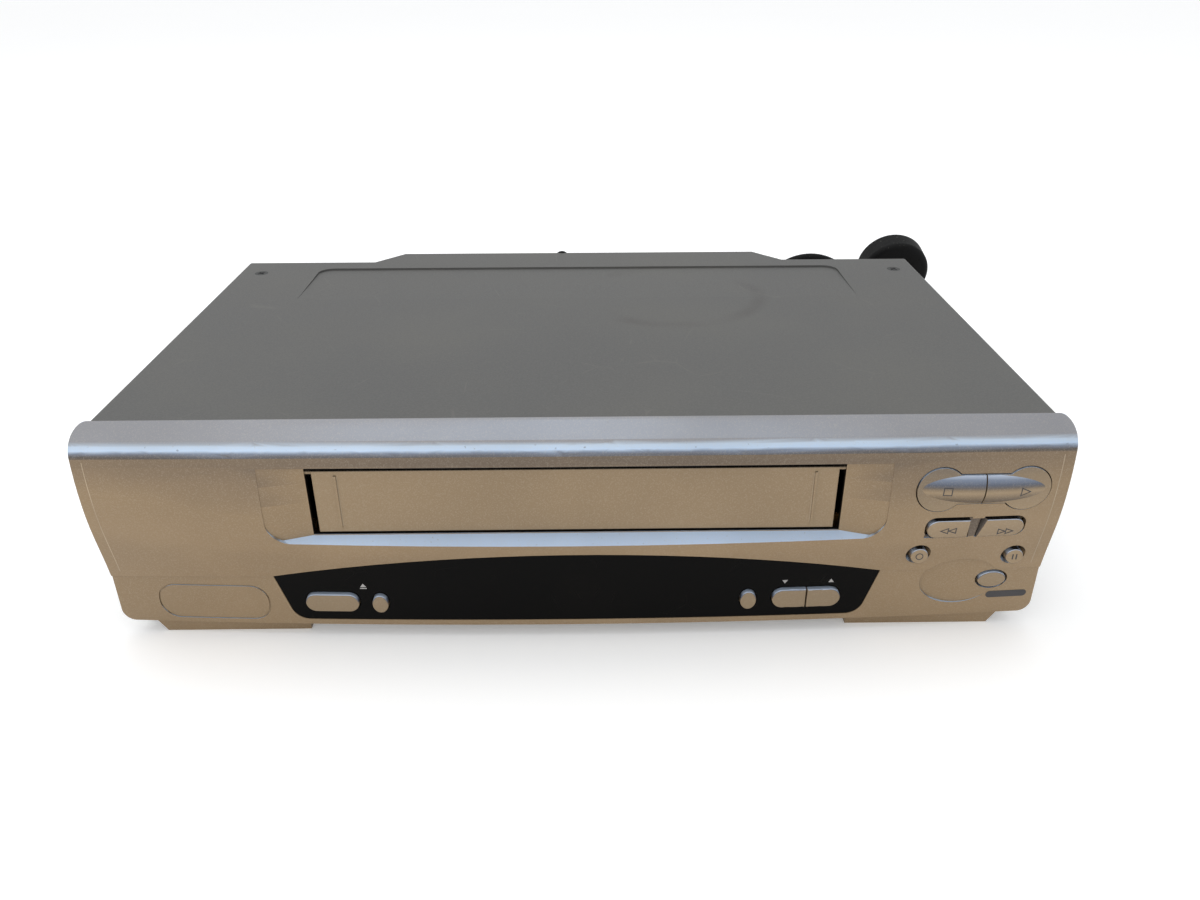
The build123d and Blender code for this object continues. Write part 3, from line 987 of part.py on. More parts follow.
WHEEL_Y = IDLER_Y - IDLER_REACH
with BuildPart() as idler_arm:
    arm_top = IDLER_ARM_Z + ARM_T
    add(rod((0, IDLER_Y, TURNING_Z), (0, IDLER_Y, arm_top), ARM_HALF + 1))
    add(block((-ARM_HALF, WHEEL_Y, IDLER_ARM_Z), (ARM_HALF, IDLER_Y, arm_top)))
    add(rod((0, WHEEL_Y, IDLER_ARM_Z), (0, WHEEL_Y, arm_top), ARM_HALF))
    add(rod((0, WHEEL_Y, TURNING_Z), (0, WHEEL_Y, arm_top), AXLE_R))
    add(rod((0, IDLER_Y, 0), (0, IDLER_Y, CASE_H), AXLE_R + RUNNING), mode=Mode.SUBTRACT)
save(idler_arm, "idler_arm")

with BuildPart() as idler_wheel:
    add(rod((0, WHEEL_Y, TURNING_Z), (0, WHEEL_Y, TURNING_Z + IDLER_WHEEL_T), IDLER_WHEEL_R))
    add(rod((0, WHEEL_Y, 0), (0, WHEEL_Y, CASE_H), AXLE_R + RUNNING), mode=Mode.SUBTRACT)
save(idler_wheel, "idler_wheel")

# --- Drum, capstan and pinch roller ----------------------------------------------------------
with BuildPart() as lower_drum:
    drum_base_top = DECK_TOP + DRUM_BASE_H
    add(rod((0, DRUM_Y, DECK_TOP), (0, DRUM_Y, drum_base_top), DRUM_BASE_R))
    add(rod((0, DRUM_Y, drum_base_top), (0, DRUM_Y, DRUM_SPLIT), DRUM_R))
    add(rod((0, DRUM_Y, DRUM_SPLIT), (0, DRUM_Y, DRUM_TOP), DRUM_AXLE_R))
save(lower_drum, "lower_drum")

with BuildPart() as upper_drum:
    add(rod((0, DRUM_Y, DRUM_SPLIT + DRUM_GAP), (0, DRUM_Y, DRUM_TOP), DRUM_R))
    chamfer(upper_drum.faces().sort_by(Axis.Z)[-1].edges(), 0.5)
    bore = rod((0, DRUM_Y, 0), (0, DRUM_Y, CASE_H), DRUM_AXLE_R + RUNNING)
    add(bore, mode=Mode.SUBTRACT)
    for turn in (0, math.pi):
        x, y = DRUM_R * math.cos(turn), DRUM_Y + DRUM_R * math.sin(turn)
        add(block((x - 1, y - 1, DRUM_SPLIT), (x + 1, y + 1, DRUM_SPLIT + 2)), mode=Mode.SUBTRACT)
save(upper_drum, "upper_drum")

with BuildPart() as capstan_bearing:
    low = FLYWHEEL_Z + FLYWHEEL_T + DECK_GAP
    add(rod((CAPSTAN_X, CAPSTAN_Y, low), (CAPSTAN_X, CAPSTAN_Y, BEARING_TOP), BEARING_R))
    add(rod((CAPSTAN_X, CAPSTAN_Y, DECK_TOP), (CAPSTAN_X, CAPSTAN_Y, DECK_TOP + 2), FLANGE_R))
    bore = rod((CAPSTAN_X, CAPSTAN_Y, 0), (CAPSTAN_X, CAPSTAN_Y, CASE_H), CAPSTAN_R + RUNNING)
    add(bore, mode=Mode.SUBTRACT)
save(capstan_bearing, "capstan_bearing")

with BuildPart() as capstan:
    add(rod((CAPSTAN_X, CAPSTAN_Y, FLYWHEEL_Z), (CAPSTAN_X, CAPSTAN_Y, CAPSTAN_TOP), CAPSTAN_R))
    flywheel_top = FLYWHEEL_Z + FLYWHEEL_T
    add(rod((CAPSTAN_X, CAPSTAN_Y, FLYWHEEL_Z), (CAPSTAN_X, CAPSTAN_Y, flywheel_top), FLYWHEEL_R))
save(capstan, "capstan")

rest = math.radians(PINCH_REST)
ROLLER_X, ROLLER_Y = PINCH_X + PINCH_REACH * math.cos(rest), PINCH_Y + PINCH_REACH * math.sin(rest)
with BuildPart() as pinch_arm:
    add(rod((PINCH_X, PINCH_Y, TURNING_Z), (PINCH_X, PINCH_Y, PINCH_TOP - 1), PINCH_HUB_R))
    with BuildSketch(Plane.XY.offset(PINCH_ARM_Z)):
        with Locations(((PINCH_X + ROLLER_X) / 2, (PINCH_Y + ROLLER_Y) / 2)):
            SlotOverall(PINCH_REACH + 2 * PINCH_ARM_HALF, 2 * PINCH_ARM_HALF, rotation=PINCH_REST)
    extrude(amount=ARM_T)
    add(rod((ROLLER_X, ROLLER_Y, PINCH_ARM_Z), (ROLLER_X, ROLLER_Y, PINCH_TOP + 1), AXLE_R))
    add(rod((PINCH_X, PINCH_Y, 0), (PINCH_X, PINCH_Y, CASE_H), AXLE_R + RUNNING), mode=Mode.SUBTRACT)
save(pinch_arm, "pinch_arm")

with BuildPart() as pinch_roller:
    add(rod((ROLLER_X, ROLLER_Y, PINCH_LOW), (ROLLER_X, ROLLER_Y, PINCH_TOP), PINCH_ROLLER_R))
    fillet(pinch_roller.edges().filter_by(GeomType.CIRCLE), 0.5)
    add(rod((ROLLER_X, ROLLER_Y, 0), (ROLLER_X, ROLLER_Y, CASE_H), AXLE_R + RUNNING), mode=Mode.SUBTRACT)
save(pinch_roller, "pinch_roller")

# --- Tape guides, heads, cam gear and loading motor ------------------------------------------
for name, x in (("supply_guide", -GUIDE_X), ("takeup_guide", GUIDE_X)):
    y, base_top = FACE_Y + GUIDE_DEPTH, TURNING_Z + GUIDE_BASE_T
    with BuildPart() as guide:
        add(rod((x, y, TURNING_Z), (x, y, base_top), GUIDE_BASE_R))
        add(rod((x, y, base_top), (x, y, GUIDE_TOP - 2), GUIDE_R))
        add(rod((x, y, GUIDE_TOP - 2), (x, y, GUIDE_TOP), GUIDE_R + 1))
        add(rod((x, y, base_top + 3), (x, y, base_top + 4), GUIDE_R + 1))
    save(guide, name)

for name, x, depth, width, length in (
    ("audio_control_head", HEAD_X, HEAD_DEPTH, HEAD_W, HEAD_L),
    ("erase_head", ERASE_X, ERASE_DEPTH, ERASE_W, ERASE_L),
):
    y, base_half = FACE_Y + depth, length / 2 + 1
    with BuildPart() as head:
        low = (x - width / 2, y - length / 2, DECK_TOP)
        add(block(low, (x + width / 2, y + length / 2, HEAD_TOP)))
        fillet(head.edges().filter_by(Axis.Z).group_by(Axis.Y)[0], 1)
        add(block((x - base_half, y - base_half, DECK_TOP), (x + base_half, y + base_half, DECK_TOP + 3)))
    save(head, name)

with BuildPart() as cam_gear:
    with BuildSketch(Plane.XY.offset(TURNING_Z)):
        with Locations((CAM_X, CAM_Y)):
            Circle(CAM_R)
            with PolarLocations(CAM_R, CAM_TEETH):
                Rectangle(2 * TOOTH, TOOTH)
            Circle(AXLE_R + RUNNING, mode=Mode.SUBTRACT)
    extrude(amount=CAM_T)
save(cam_gear, "cam_gear")

with BuildPart() as loading_motor:
    y, z = FACE_Y + MOTOR_DEPTH, DECK_TOP + MOTOR_R
    add(rod((MOTOR_LEFT, y, z), (MOTOR_RIGHT, y, z), MOTOR_R))
    add(rod((MOTOR_RIGHT, y, z), (WORM_END, y, z), WORM_R))
    add(block((MOTOR_LEFT + 2, y - MOTOR_R / 2, DECK_TOP), (MOTOR_RIGHT - 2, y + MOTOR_R / 2, z)))
save(loading_motor, "loading_motor")

# --- Mains cord ------------------------------------------------------------------------------
with BuildPart() as cord_grommet:
    add(rod((GLAND_X, REAR_IN - GLAND_T, GLAND_Z), (GLAND_X, REAR_IN, GLAND_Z), GLAND_R))
    add(rod((GLAND_X, REAR_IN - 1, GLAND_Z), (GLAND_X, REAR_OUT + 1, GLAND_Z), GLAND_NECK_R))
    add(rod((GLAND_X, REAR_OUT, GLAND_Z), (GLAND_X, REAR_OUT + GLAND_T, GLAND_Z), GLAND_R))
    relief_start = REAR_OUT + GLAND_T
    with Locations(Plane(origin=(GLAND_X, relief_start, GLAND_Z), z_dir=(0, 1, 0))):
        Cone(GLAND_NECK_R, RELIEF_TIP_R, GLAND_Y - relief_start, align=ON_BASE)
save(cord_grommet, "cord_grommet")


def free_cord(points, name):
    """A tube along straight runs joined by the widest arcs that fit them."""
    corners = [Vector(x, FACE_Y + depth, z) for x, depth, z in points]
    runs = [b - a for a, b in zip(corners, corners[1:])]
    radii = []
    for before, after in zip(runs, runs[1:]):
        half_turn = math.radians(before.get_angle(after) / 2)
        radii.append(0.45 * min(before.length, after.length) / math.tan(half_turn))
    with BuildPart() as tube:
        with BuildLine() as path:
            FilletPolyline(*corners, radius=radii)
        with BuildSketch(Plane(origin=corners[0], z_dir=runs[0])):
            Circle(CORD_R)
        sweep(path=path.line)
    length = sum(edge.length for edge in path.edges())
    share = tube.part.volume / (math.pi * CORD_R**2 * length)
    print(name, "length", round(length, 1), "radii", [round(r, 1) for r in radii])
    print(name, "volume over section times length", round(share, 4))
    save(tube, name)
    return tube.part


LEAD_TUBE = free_cord(LEAD_IN, "mains_cord")
TAIL_TUBE = free_cord(TAIL, "mains_cord_tail")

COIL_BACK = FACE_Y + COIL_DEPTH + CORD_R
COIL_FRONT = FACE_Y + COIL_DEPTH - COIL_TURNS * COIL_PITCH - CORD_R
with BuildPart() as mains_cord_coil:
    with BuildSketch(across(COIL_BACK)):
        with Locations(((COIL_LEFT + COIL_RIGHT) / 2, COIL_Z)):
            straight = COIL_RIGHT - COIL_LEFT
            SlotCenterToCenter(straight, 2 * (COIL_R + CORD_R))
            SlotCenterToCenter(straight, 2 * (COIL_R - CORD_R), mode=Mode.SUBTRACT)
    extrude(amount=COIL_BACK - COIL_FRONT)
    add(LEAD_TUBE, mode=Mode.SUBTRACT)
    add(TAIL_TUBE, mode=Mode.SUBTRACT)
save(mains_cord_coil, "mains_cord_coil")
turn_length = 2 * (COIL_RIGHT - COIL_LEFT) + 2 * math.pi * COIL_R
print("coil length", round(COIL_TURNS * turn_length, 1))

COIL_TOP = COIL_Z + COIL_R + CORD_R
tilt = math.radians(PLUG_TILT)
PLUG_Y = FACE_Y + PLUG_DEPTH
PLUG_Z = COIL_TOP + PLUG_GAP + PLUG_R * math.cos(tilt) + PLUG_T / 2 * math.sin(tilt)
facing = Vector(0, math.cos(tilt), math.sin(tilt))
centre = Vector(COIL_RIGHT, PLUG_Y, PLUG_Z)
boot_tip = Vector(TAIL[-1][0], FACE_Y + TAIL[-1][1], TAIL[-1][2])
boot_way = boot_tip - Vector(TAIL[-2][0], FACE_Y + TAIL[-2][1], TAIL[-2][2])
with BuildPart() as mains_plug:
    with BuildSketch(Plane(origin=centre - facing * (PLUG_T / 2), z_dir=facing)):
        Circle(PLUG_R)
    extrude(amount=PLUG_T)
    fillet(mains_plug.edges(), PLUG_EDGE_R)
    with BuildSketch(Plane(origin=boot_tip, z_dir=boot_way)):
        Circle(BOOT_TIP_R)
    with BuildSketch(Plane(origin=boot_tip + boot_way.normalized() * BOOT_LENGTH, z_dir=boot_way)):
        Circle(BOOT_R)
    loft()
save(mains_plug, "mains_plug")

with BuildPart() as plug_pins:
    for side in (-1, 1):
        foot = centre - facing * (PLUG_T / 2) + Vector(side * PLUG_PIN_APART / 2, 0, 0)
        add(rod(foot, foot - facing * PLUG_PIN_REACH, PLUG_PIN_R))
save(plug_pins, "plug_pins")

with BuildPart() as cable_tie:
    middle = COIL_LEFT + TIE_PLACE
    front, back, low, high = COIL_FRONT, COIL_BACK, COIL_Z - COIL_R - CORD_R, COIL_Z - COIL_R + CORD_R
    add(block((middle - TIE_W / 2, front - TIE_T, low), (middle + TIE_W / 2, back + TIE_T, high + TIE_T)))
    add(block((middle - TIE_W, front, low - 1), (middle + TIE_W, back, high)), mode=Mode.SUBTRACT)
save(cable_tie, "cable_tie")
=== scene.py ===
"""A front-loading video cassette recorder: its camera, cord, printed marks, painted highlights, screws,
sockets and materials.

Frame: metres, +X to the right, +Y to the rear, +Z up. Places in the tables below are millimetres: x, depth
behind the ridge of the front panel, and height above the floor.
"""

import math

import bpy
import numpy as np
from mathutils import Matrix, Vector
from mathutils.bvhtree import BVHTree


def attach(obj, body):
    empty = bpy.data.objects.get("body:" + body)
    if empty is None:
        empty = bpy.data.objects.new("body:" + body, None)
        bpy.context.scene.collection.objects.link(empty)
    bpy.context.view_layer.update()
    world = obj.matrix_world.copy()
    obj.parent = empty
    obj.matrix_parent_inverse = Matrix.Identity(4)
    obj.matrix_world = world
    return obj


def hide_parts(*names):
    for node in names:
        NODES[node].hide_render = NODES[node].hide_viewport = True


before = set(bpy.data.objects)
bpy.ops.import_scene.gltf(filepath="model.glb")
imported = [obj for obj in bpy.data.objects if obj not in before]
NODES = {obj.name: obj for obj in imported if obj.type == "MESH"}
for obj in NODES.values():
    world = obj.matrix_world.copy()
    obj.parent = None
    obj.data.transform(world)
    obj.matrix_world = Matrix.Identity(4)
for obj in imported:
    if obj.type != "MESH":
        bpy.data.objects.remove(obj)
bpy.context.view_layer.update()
MM = 0.001
FACE_Y = -108.9


def at(x, depth, z):
    """A place in metres from x, depth and height in millimetres."""
    return Vector((x * MM, (FACE_Y + depth) * MM, z * MM))


# --- Camera ----------------------------------------------------------------------------------
CAMERA_PLACE = (5.221, -305.925, 245.63)
PITCH, YAW, ROLL = 27.944, -0.652, -0.196
LENS = 29.189


def make_camera():
    """The main view: the columns of the camera's matrix are its right, its up and its back."""
    pitch, yaw, roll = math.radians(PITCH), math.radians(YAW), math.radians(ROLL)
    tilt = Matrix.Rotation(pitch, 3, "X")
    turn = Matrix.Rotation(-yaw, 3, "Z")
    lean = Matrix.Rotation(roll, 3, "Y")
    right, ahead, up = lean @ tilt @ turn
    data = bpy.data.cameras.new("camera")
    data.sensor_width = 36.0
    data.lens = LENS
    data.clip_start = 0.01
    camera = bpy.data.objects.new("camera", data)
    columns = Matrix((right, up, -ahead)).transposed()
    camera.matrix_world = Matrix.Translation(at(*CAMERA_PLACE)) @ columns.to_4x4()
    bpy.context.collection.objects.link(camera)
    bpy.context.scene.camera = camera


make_camera()

# --- Shader helpers --------------------------------------------------------------------------


def put(tree, kind, inputs, out=0, **settings):
    """Adds a shader node, sets or links its inputs by name or place, and gives back one of its outputs."""
    node = tree.nodes.new("ShaderNode" + kind)
    for key, value in settings.items():
        setattr(node, key, value)
    for key, value in inputs.items():
        if isinstance(value, bpy.types.NodeSocket):
            tree.links.new(value, node.inputs[key])
        else:
            node.inputs[key].default_value = value
    return node.outputs[out]


def math_of(tree, operation, first, second=0.0, clamp=False):
    """One step of arithmetic."""
    return put(tree, "Math", {0: first, 1: second}, operation=operation, use_clamp=clamp)


def mixed(tree, share, first, second, blend="MIX"):
    """Two colours mixed by a share."""
    return put(tree, "Mix", {0: share, 6: first, 7: second}, 2, data_type="RGBA", blend_type=blend)


def step_of(tree, value, low, high, to_low=0.0, to_high=1.0):
    """A smooth step from to_low at low to to_high at high."""
    inputs = {0: value, 1: low, 2: high, 3: to_low, 4: to_high}
    return put(tree, "MapRange", inputs, interpolation_type="SMOOTHSTEP")


def above(tree, value, place, blur):
    """A mask of where a value in metres is past a place, blurred to each side, both in millimetres."""
    return step_of(tree, value, (place - blur) * MM, (place + blur) * MM)


def below(tree, value, place, blur):
    """A mask of where a value in metres is short of a place, blurred to each side, both in millimetres."""
    return step_of(tree, value, (place - blur) * MM, (place + blur) * MM, 1.0, 0.0)


def all_of(tree, *masks):
    """The product of several masks."""
    product = masks[0]
    for mask in masks[1:]:
        product = math_of(tree, "MULTIPLY", product, mask)
    return product


def rgb(red, green, blue):
    """A colour in the shader's linear values from its 0 to 255 screen values."""
    return [((part / 255 + 0.055) / 1.055) ** 2.4 for part in (red, green, blue)] + [1.0]


def new_group(name, inputs, outputs):
    """An empty node group with named sockets: its tree, its inputs and a function that links its outputs."""
    tree = bpy.data.node_groups.new(name, "ShaderNodeTree")
    for title, kind, value in inputs:
        socket = tree.interface.new_socket(title, in_out="INPUT", socket_type="NodeSocket" + kind)
        socket.default_value = value
    for title, kind in outputs:
        tree.interface.new_socket(title, in_out="OUTPUT", socket_type="NodeSocket" + kind)
    given = tree.nodes.new("NodeGroupInput").outputs
    result = tree.nodes.new("NodeGroupOutput").inputs

    def give(**sockets):
        for title, socket in sockets.items():
            tree.links.new(socket, result[title.replace("_", " ")])

    return tree, given, give


def use(tree, group, inputs, *outputs):
    """Puts a node group in a tree and gives back the named outputs."""
    node = tree.nodes.new("ShaderNodeGroup")
    node.node_tree = group
    for key, value in inputs.items():
        if isinstance(value, bpy.types.NodeSocket):
            tree.links.new(value, node.inputs[key])
        else:
            node.inputs[key].default_value = value
    found = [node.outputs[title] for title in outputs]
    return found if len(found) > 1 else found[0]


GREY = (0.5, 0.5, 0.5, 1.0)

# --- Shared node groups ----------------------------------------------------------------------
FLAKE, given, give = new_group(
    "metal_flake",
    [
        ("Colour", "Color", GREY),
        ("Light", "Color", GREY),
        ("Scale", "Float", 2200.0),
        ("Amount", "Float", 0.25),
    ],
    [("Colour", "Color"), ("Sparkle", "Float")],
)
place = put(FLAKE, "TexCoord", {}, "Object")
cell = put(FLAKE, "TexVoronoi", {"Vector": place, "Scale": given["Scale"]}, "Color")
grain = put(FLAKE, "SeparateColor", {0: cell}, 0)
drift = put(FLAKE, "TexNoise", {"Vector": place, "Scale": 18.0, "Detail": 3.0})
bright = step_of(FLAKE, grain, 0.6, 1.0)
share = math_of(FLAKE, "MULTIPLY", bright, given["Amount"])
shade = mixed(FLAKE, share, given["Colour"], given["Light"])
dim = step_of(FLAKE, drift, 0.3, 0.7, 0.94, 1.05)
give(Colour=put(FLAKE, "HueSaturation", {"Value": dim, "Color": shade}), Sparkle=bright)

GRAIN, given, give = new_group(
    "fine_grain",
    [("Scale", "Float", 1500.0), ("Depth", "Float", 0.0001), ("Strength", "Float", 0.3)],
    [("Normal", "Vector"), ("Height", "Float")],
)
place = put(GRAIN, "TexCoord", {}, "Object")
height = put(GRAIN, "TexNoise", {"Vector": place, "Scale": given["Scale"], "Detail": 4.0, "Roughness": 0.65})
relief = put(GRAIN, "Bump", {"Height": height, "Distance": given["Depth"], "Strength": given["Strength"]})
give(Normal=relief, Height=height)

DUST, given, give = new_group(
    "settled_dust",
    [("Colour", "Color", GREY), ("Dust", "Color", GREY), ("Amount", "Float", 0.15), ("Scale", "Float", 30.0)],
    [("Colour", "Color"), ("Cover", "Float")],
)
place = put(DUST, "TexCoord", {}, "Object")
facing = put(DUST, "SeparateXYZ", {0: put(DUST, "TexCoord", {}, "Normal")}, "Z")
patch = put(DUST, "TexNoise", {"Vector": place, "Scale": given["Scale"], "Detail": 6.0, "Roughness": 0.6})
speck = put(DUST, "TexNoise", {"Vector": place, "Scale": 900.0, "Detail": 1.0})
lies = math_of(DUST, "MULTIPLY", step_of(DUST, facing, 0.2, 0.9), step_of(DUST, patch, 0.38, 0.68))
spots = math_of(DUST, "MULTIPLY", step_of(DUST, speck, 0.72, 0.76), step_of(DUST, facing, 0.2, 0.9))
thick = math_of(DUST, "MULTIPLY", lies, given["Amount"])
cover = math_of(DUST, "ADD", thick, math_of(DUST, "MULTIPLY", spots, 0.3), True)
give(Colour=mixed(DUST, cover, given["Colour"], given["Dust"]), Cover=cover)

SCRATCH, given, give = new_group(
    "fine_scratches",
    [("Scale", "Float", 60.0), ("Amount", "Float", 0.3)],
    [("Marks", "Float")],
)
place = put(SCRATCH, "TexCoord", {}, "Object")
bent = put(SCRATCH, "TexNoise", {"Vector": place, "Scale": 9.0}, "Color")
shift = put(SCRATCH, "VectorMath", {0: bent, "Scale": 0.02}, operation="SCALE")
pushed = put(SCRATCH, "VectorMath", {0: place, 1: shift})
inputs = {"Vector": pushed, "Scale": given["Scale"]}
lines = put(SCRATCH, "TexVoronoi", inputs, "Distance", feature="DISTANCE_TO_EDGE")
thin = step_of(SCRATCH, lines, 0.0, 0.012, 1.0, 0.0)
gaps = step_of(SCRATCH, put(SCRATCH, "TexNoise", {"Vector": place, "Scale": 45.0}), 0.55, 0.62)
give(Marks=math_of(SCRATCH, "MULTIPLY", math_of(SCRATCH, "MULTIPLY", thin, gaps), given["Amount"]))


def new_material(name):
    """A material with a principled shader: its tree and the shader's node."""
    material = bpy.data.materials.new(name)
    material.use_nodes = True
    tree = material.node_tree
    shader = next(node for node in tree.nodes if node.type == "BSDF_PRINCIPLED")
    return material, tree, shader


def set_shader(tree, shader, values):
    """Sets or links the principled shader's sockets by name."""
    for key, value in values.items():
        if isinstance(value, bpy.types.NodeSocket):
            tree.links.new(value, shader.inputs[key])
        else:
            shader.inputs[key].default_value = value


def ramp_of(tree, value, stops):
    """A colour ramp over -1 to 1 from a table of (value, red, green, blue)."""
    share = math_of(tree, "MULTIPLY", math_of(tree, "ADD", value, 1.0), 0.5)
    colour = put(tree, "ValToRGB", {0: share})
    ramp = colour.node.color_ramp
    while len(ramp.elements) < len(stops):
        ramp.elements.new(0.5)
    for element, (where, *screen) in zip(ramp.elements, stops):
        element.position = (where + 1) / 2
        element.color = rgb(*screen)
    return colour


def flake_paint_with_painted_light(name, stops, light, roughness, metallic, amount):
    """Metallic paint, whose flakes take their colour from how far the surface faces up: painted light, that
    is painted shade on faces turned down and painted reflections and highlights on faces turned up.

    The object's own normal gives that, so the colour stays on the surface in every view.
    """
    material, tree, shader = new_material(name)
    upward = put(tree, "SeparateXYZ", {0: put(tree, "TexCoord", {}, "Normal")}, "Z")
    base = ramp_of(tree, upward, stops)
    inputs = {"Colour": base, "Light": rgb(*light), "Scale": 3200.0, "Amount": amount}
    colour, sparkle = use(tree, FLAKE, inputs, "Colour", "Sparkle")
    inputs = {"Colour": colour, "Dust": rgb(*DUST_COLOUR), "Amount": 0.06, "Scale": 24.0}
    colour, cover = use(tree, DUST, inputs, "Colour", "Cover")
    rough = math_of(tree, "SUBTRACT", roughness, math_of(tree, "MULTIPLY", sparkle, 0.08))
    rough = math_of(tree, "ADD", rough, math_of(tree, "MULTIPLY", cover, 0.5), True)
    relief = use(tree, GRAIN, {"Scale": 3600.0, "Depth": 0.00004, "Strength": 0.2}, "Normal")
    values = {"Base Color": colour, "Roughness": rough, "Metallic": metallic, "Normal": relief}
    set_shader(tree, shader, values)
    return material, tree, shader


def plain_plastic(name, colour, roughness, scale=1400.0, depth=0.00008, dust=0.1, light=None):
    """Moulded plastic or rubber: fine spark-eroded grain, a slow drift of colour and a little dust on top."""
    material, tree, shader = new_material(name)
    place = put(tree, "TexCoord", {}, "Object")
    drift = put(tree, "TexNoise", {"Vector": place, "Scale": 40.0, "Detail": 4.0})
    light = light or [min(255, part * 1.25 + 6) for part in colour]
    base = mixed(tree, step_of(tree, drift, 0.35, 0.75, 0.0, 0.5), rgb(*colour), rgb(*light))
    inputs = {"Colour": base, "Dust": rgb(*DUST_COLOUR), "Amount": dust, "Scale": 35.0}
    base, cover = use(tree, DUST, inputs, "Colour", "Cover")
    relief, height = use(tree, GRAIN, {"Scale": scale, "Depth": depth, "Strength": 0.35}, "Normal", "Height")
    rough = step_of(tree, height, 0.3, 0.7, roughness - 0.06, roughness + 0.06)
    rough = math_of(tree, "ADD", rough, math_of(tree, "MULTIPLY", cover, 0.4), True)
    set_shader(tree, shader, {"Base Color": base, "Roughness": rough, "Normal": relief})
    return material, tree, shader


def plain_metal(name, colour, roughness, stretch=(1.0, 1.0, 1.0), scale=300.0, spots=None, metallic=1.0):
    """Bare metal: grain drawn out along one axis, a slow drift of brightness, fine scratches and stains."""
    material, tree, shader = new_material(name)
    place = put(tree, "TexCoord", {}, "Object")
    drawn = put(tree, "Mapping", {"Vector": place, "Scale": stretch})
    lines = put(tree, "TexNoise", {"Vector": drawn, "Scale": scale, "Detail": 5.0})
    drift = put(tree, "TexNoise", {"Vector": place, "Scale": 35.0, "Detail": 3.0})
    dark = [part * 0.82 for part in colour]
    base = mixed(tree, step_of(tree, lines, 0.3, 0.7), rgb(*dark), rgb(*colour))
    if spots:
        base = mixed(tree, step_of(tree, drift, 0.55, 0.72, 0.0, 0.6), base, rgb(*spots))
    marks = use(tree, SCRATCH, {"Scale": 140.0, "Amount": 0.4}, "Marks")
    rough = step_of(tree, lines, 0.3, 0.7, roughness - 0.08, roughness + 0.08)
    rough = math_of(tree, "ADD", rough, math_of(tree, "MULTIPLY", marks, 0.2), True)
    relief = put(tree, "Bump", {"Height": lines, "Distance": 0.00003, "Strength": 0.3})
    set_shader(tree, shader, {"Base Color": base, "Roughness": rough, "Metallic": metallic, "Normal": relief})
    return material, tree, shader


# --- Materials -------------------------------------------------------------------------------
MATERIALS = {}
PAINT_FLAKES, BUTTON_FLAKES, DUST_COLOUR = (200, 190, 172), (196, 188, 172), (150, 146, 138)

# each table gives the colour on surfaces that face from straight down, -1, to straight up, 1, with painted
# light in it: painted shade on faces turned down, and painted reflections and highlights, the bluish bands,
# on faces turned up
PANEL_STOPS = [
    (-1.0, 34, 27, 21),
    (-0.55, 74, 61, 46),
    (-0.16, 148, 125, 95),
    (0.0, 144, 122, 93),
    (0.1, 122, 104, 83),
    (0.2, 84, 77, 72),
    (0.34, 120, 130, 147),
    (0.46, 184, 204, 228),
    (0.62, 184, 200, 218),
    (0.73, 138, 137, 140),
    (0.79, 140, 141, 146),
    (0.88, 190, 210, 236),
]
BUTTON_STOPS = [
    (-1.0, 34, 28, 22),
    (-0.4, 100, 84, 64),
    (-0.08, 154, 133, 105),
    (0.04, 134, 116, 92),
    (0.12, 100, 92, 86),
    (0.24, 88, 94, 108),
    (0.42, 120, 131, 150),
    (0.62, 196, 208, 226),
    (0.82, 184, 198, 218),
    (0.97, 178, 192, 212),
]
# the wells' faces turned up end near black: painted shadow on the buttons' tops, in the gaps above them
WELL_STOPS = BUTTON_STOPS[:3] + [
    (0.06, 146, 125, 97),
    (0.3, 132, 126, 122),
    (0.6, 196, 208, 226),
    (0.85, 150, 160, 176),
    (0.97, 36, 33, 32),
]
# the flap's faces turned up go dark: painted shadow in the gap above it; its faces turned down take painted
# shade
FLAP_STOPS = [
    (-1.0, 30, 25, 20),
    (-0.3, 120, 102, 78),
    (0.0, 144, 123, 95),
    (0.25, 128, 110, 86),
    (0.7, 66, 56, 44),
    (0.98, 24, 20, 16),
]
# places on the panel in millimetres: heights, half widths and Y
RIDGE_Z, RIDGE_Y = 84.6, -105.25
OPENING_BOTTOM, OPENING_TOP, OPENING_SIDE, OPENING_Y = 47.3, 78.1, 100.5, -107.15
LOWER_TOP, LOWER_SIDE = 43.0, 121.0
# the rubbed ring on the cover: its middle in metres and its radius in millimetres
RUB_MIDDLE, RUB_R = (0.045, 0.035, 0.092), 42.0


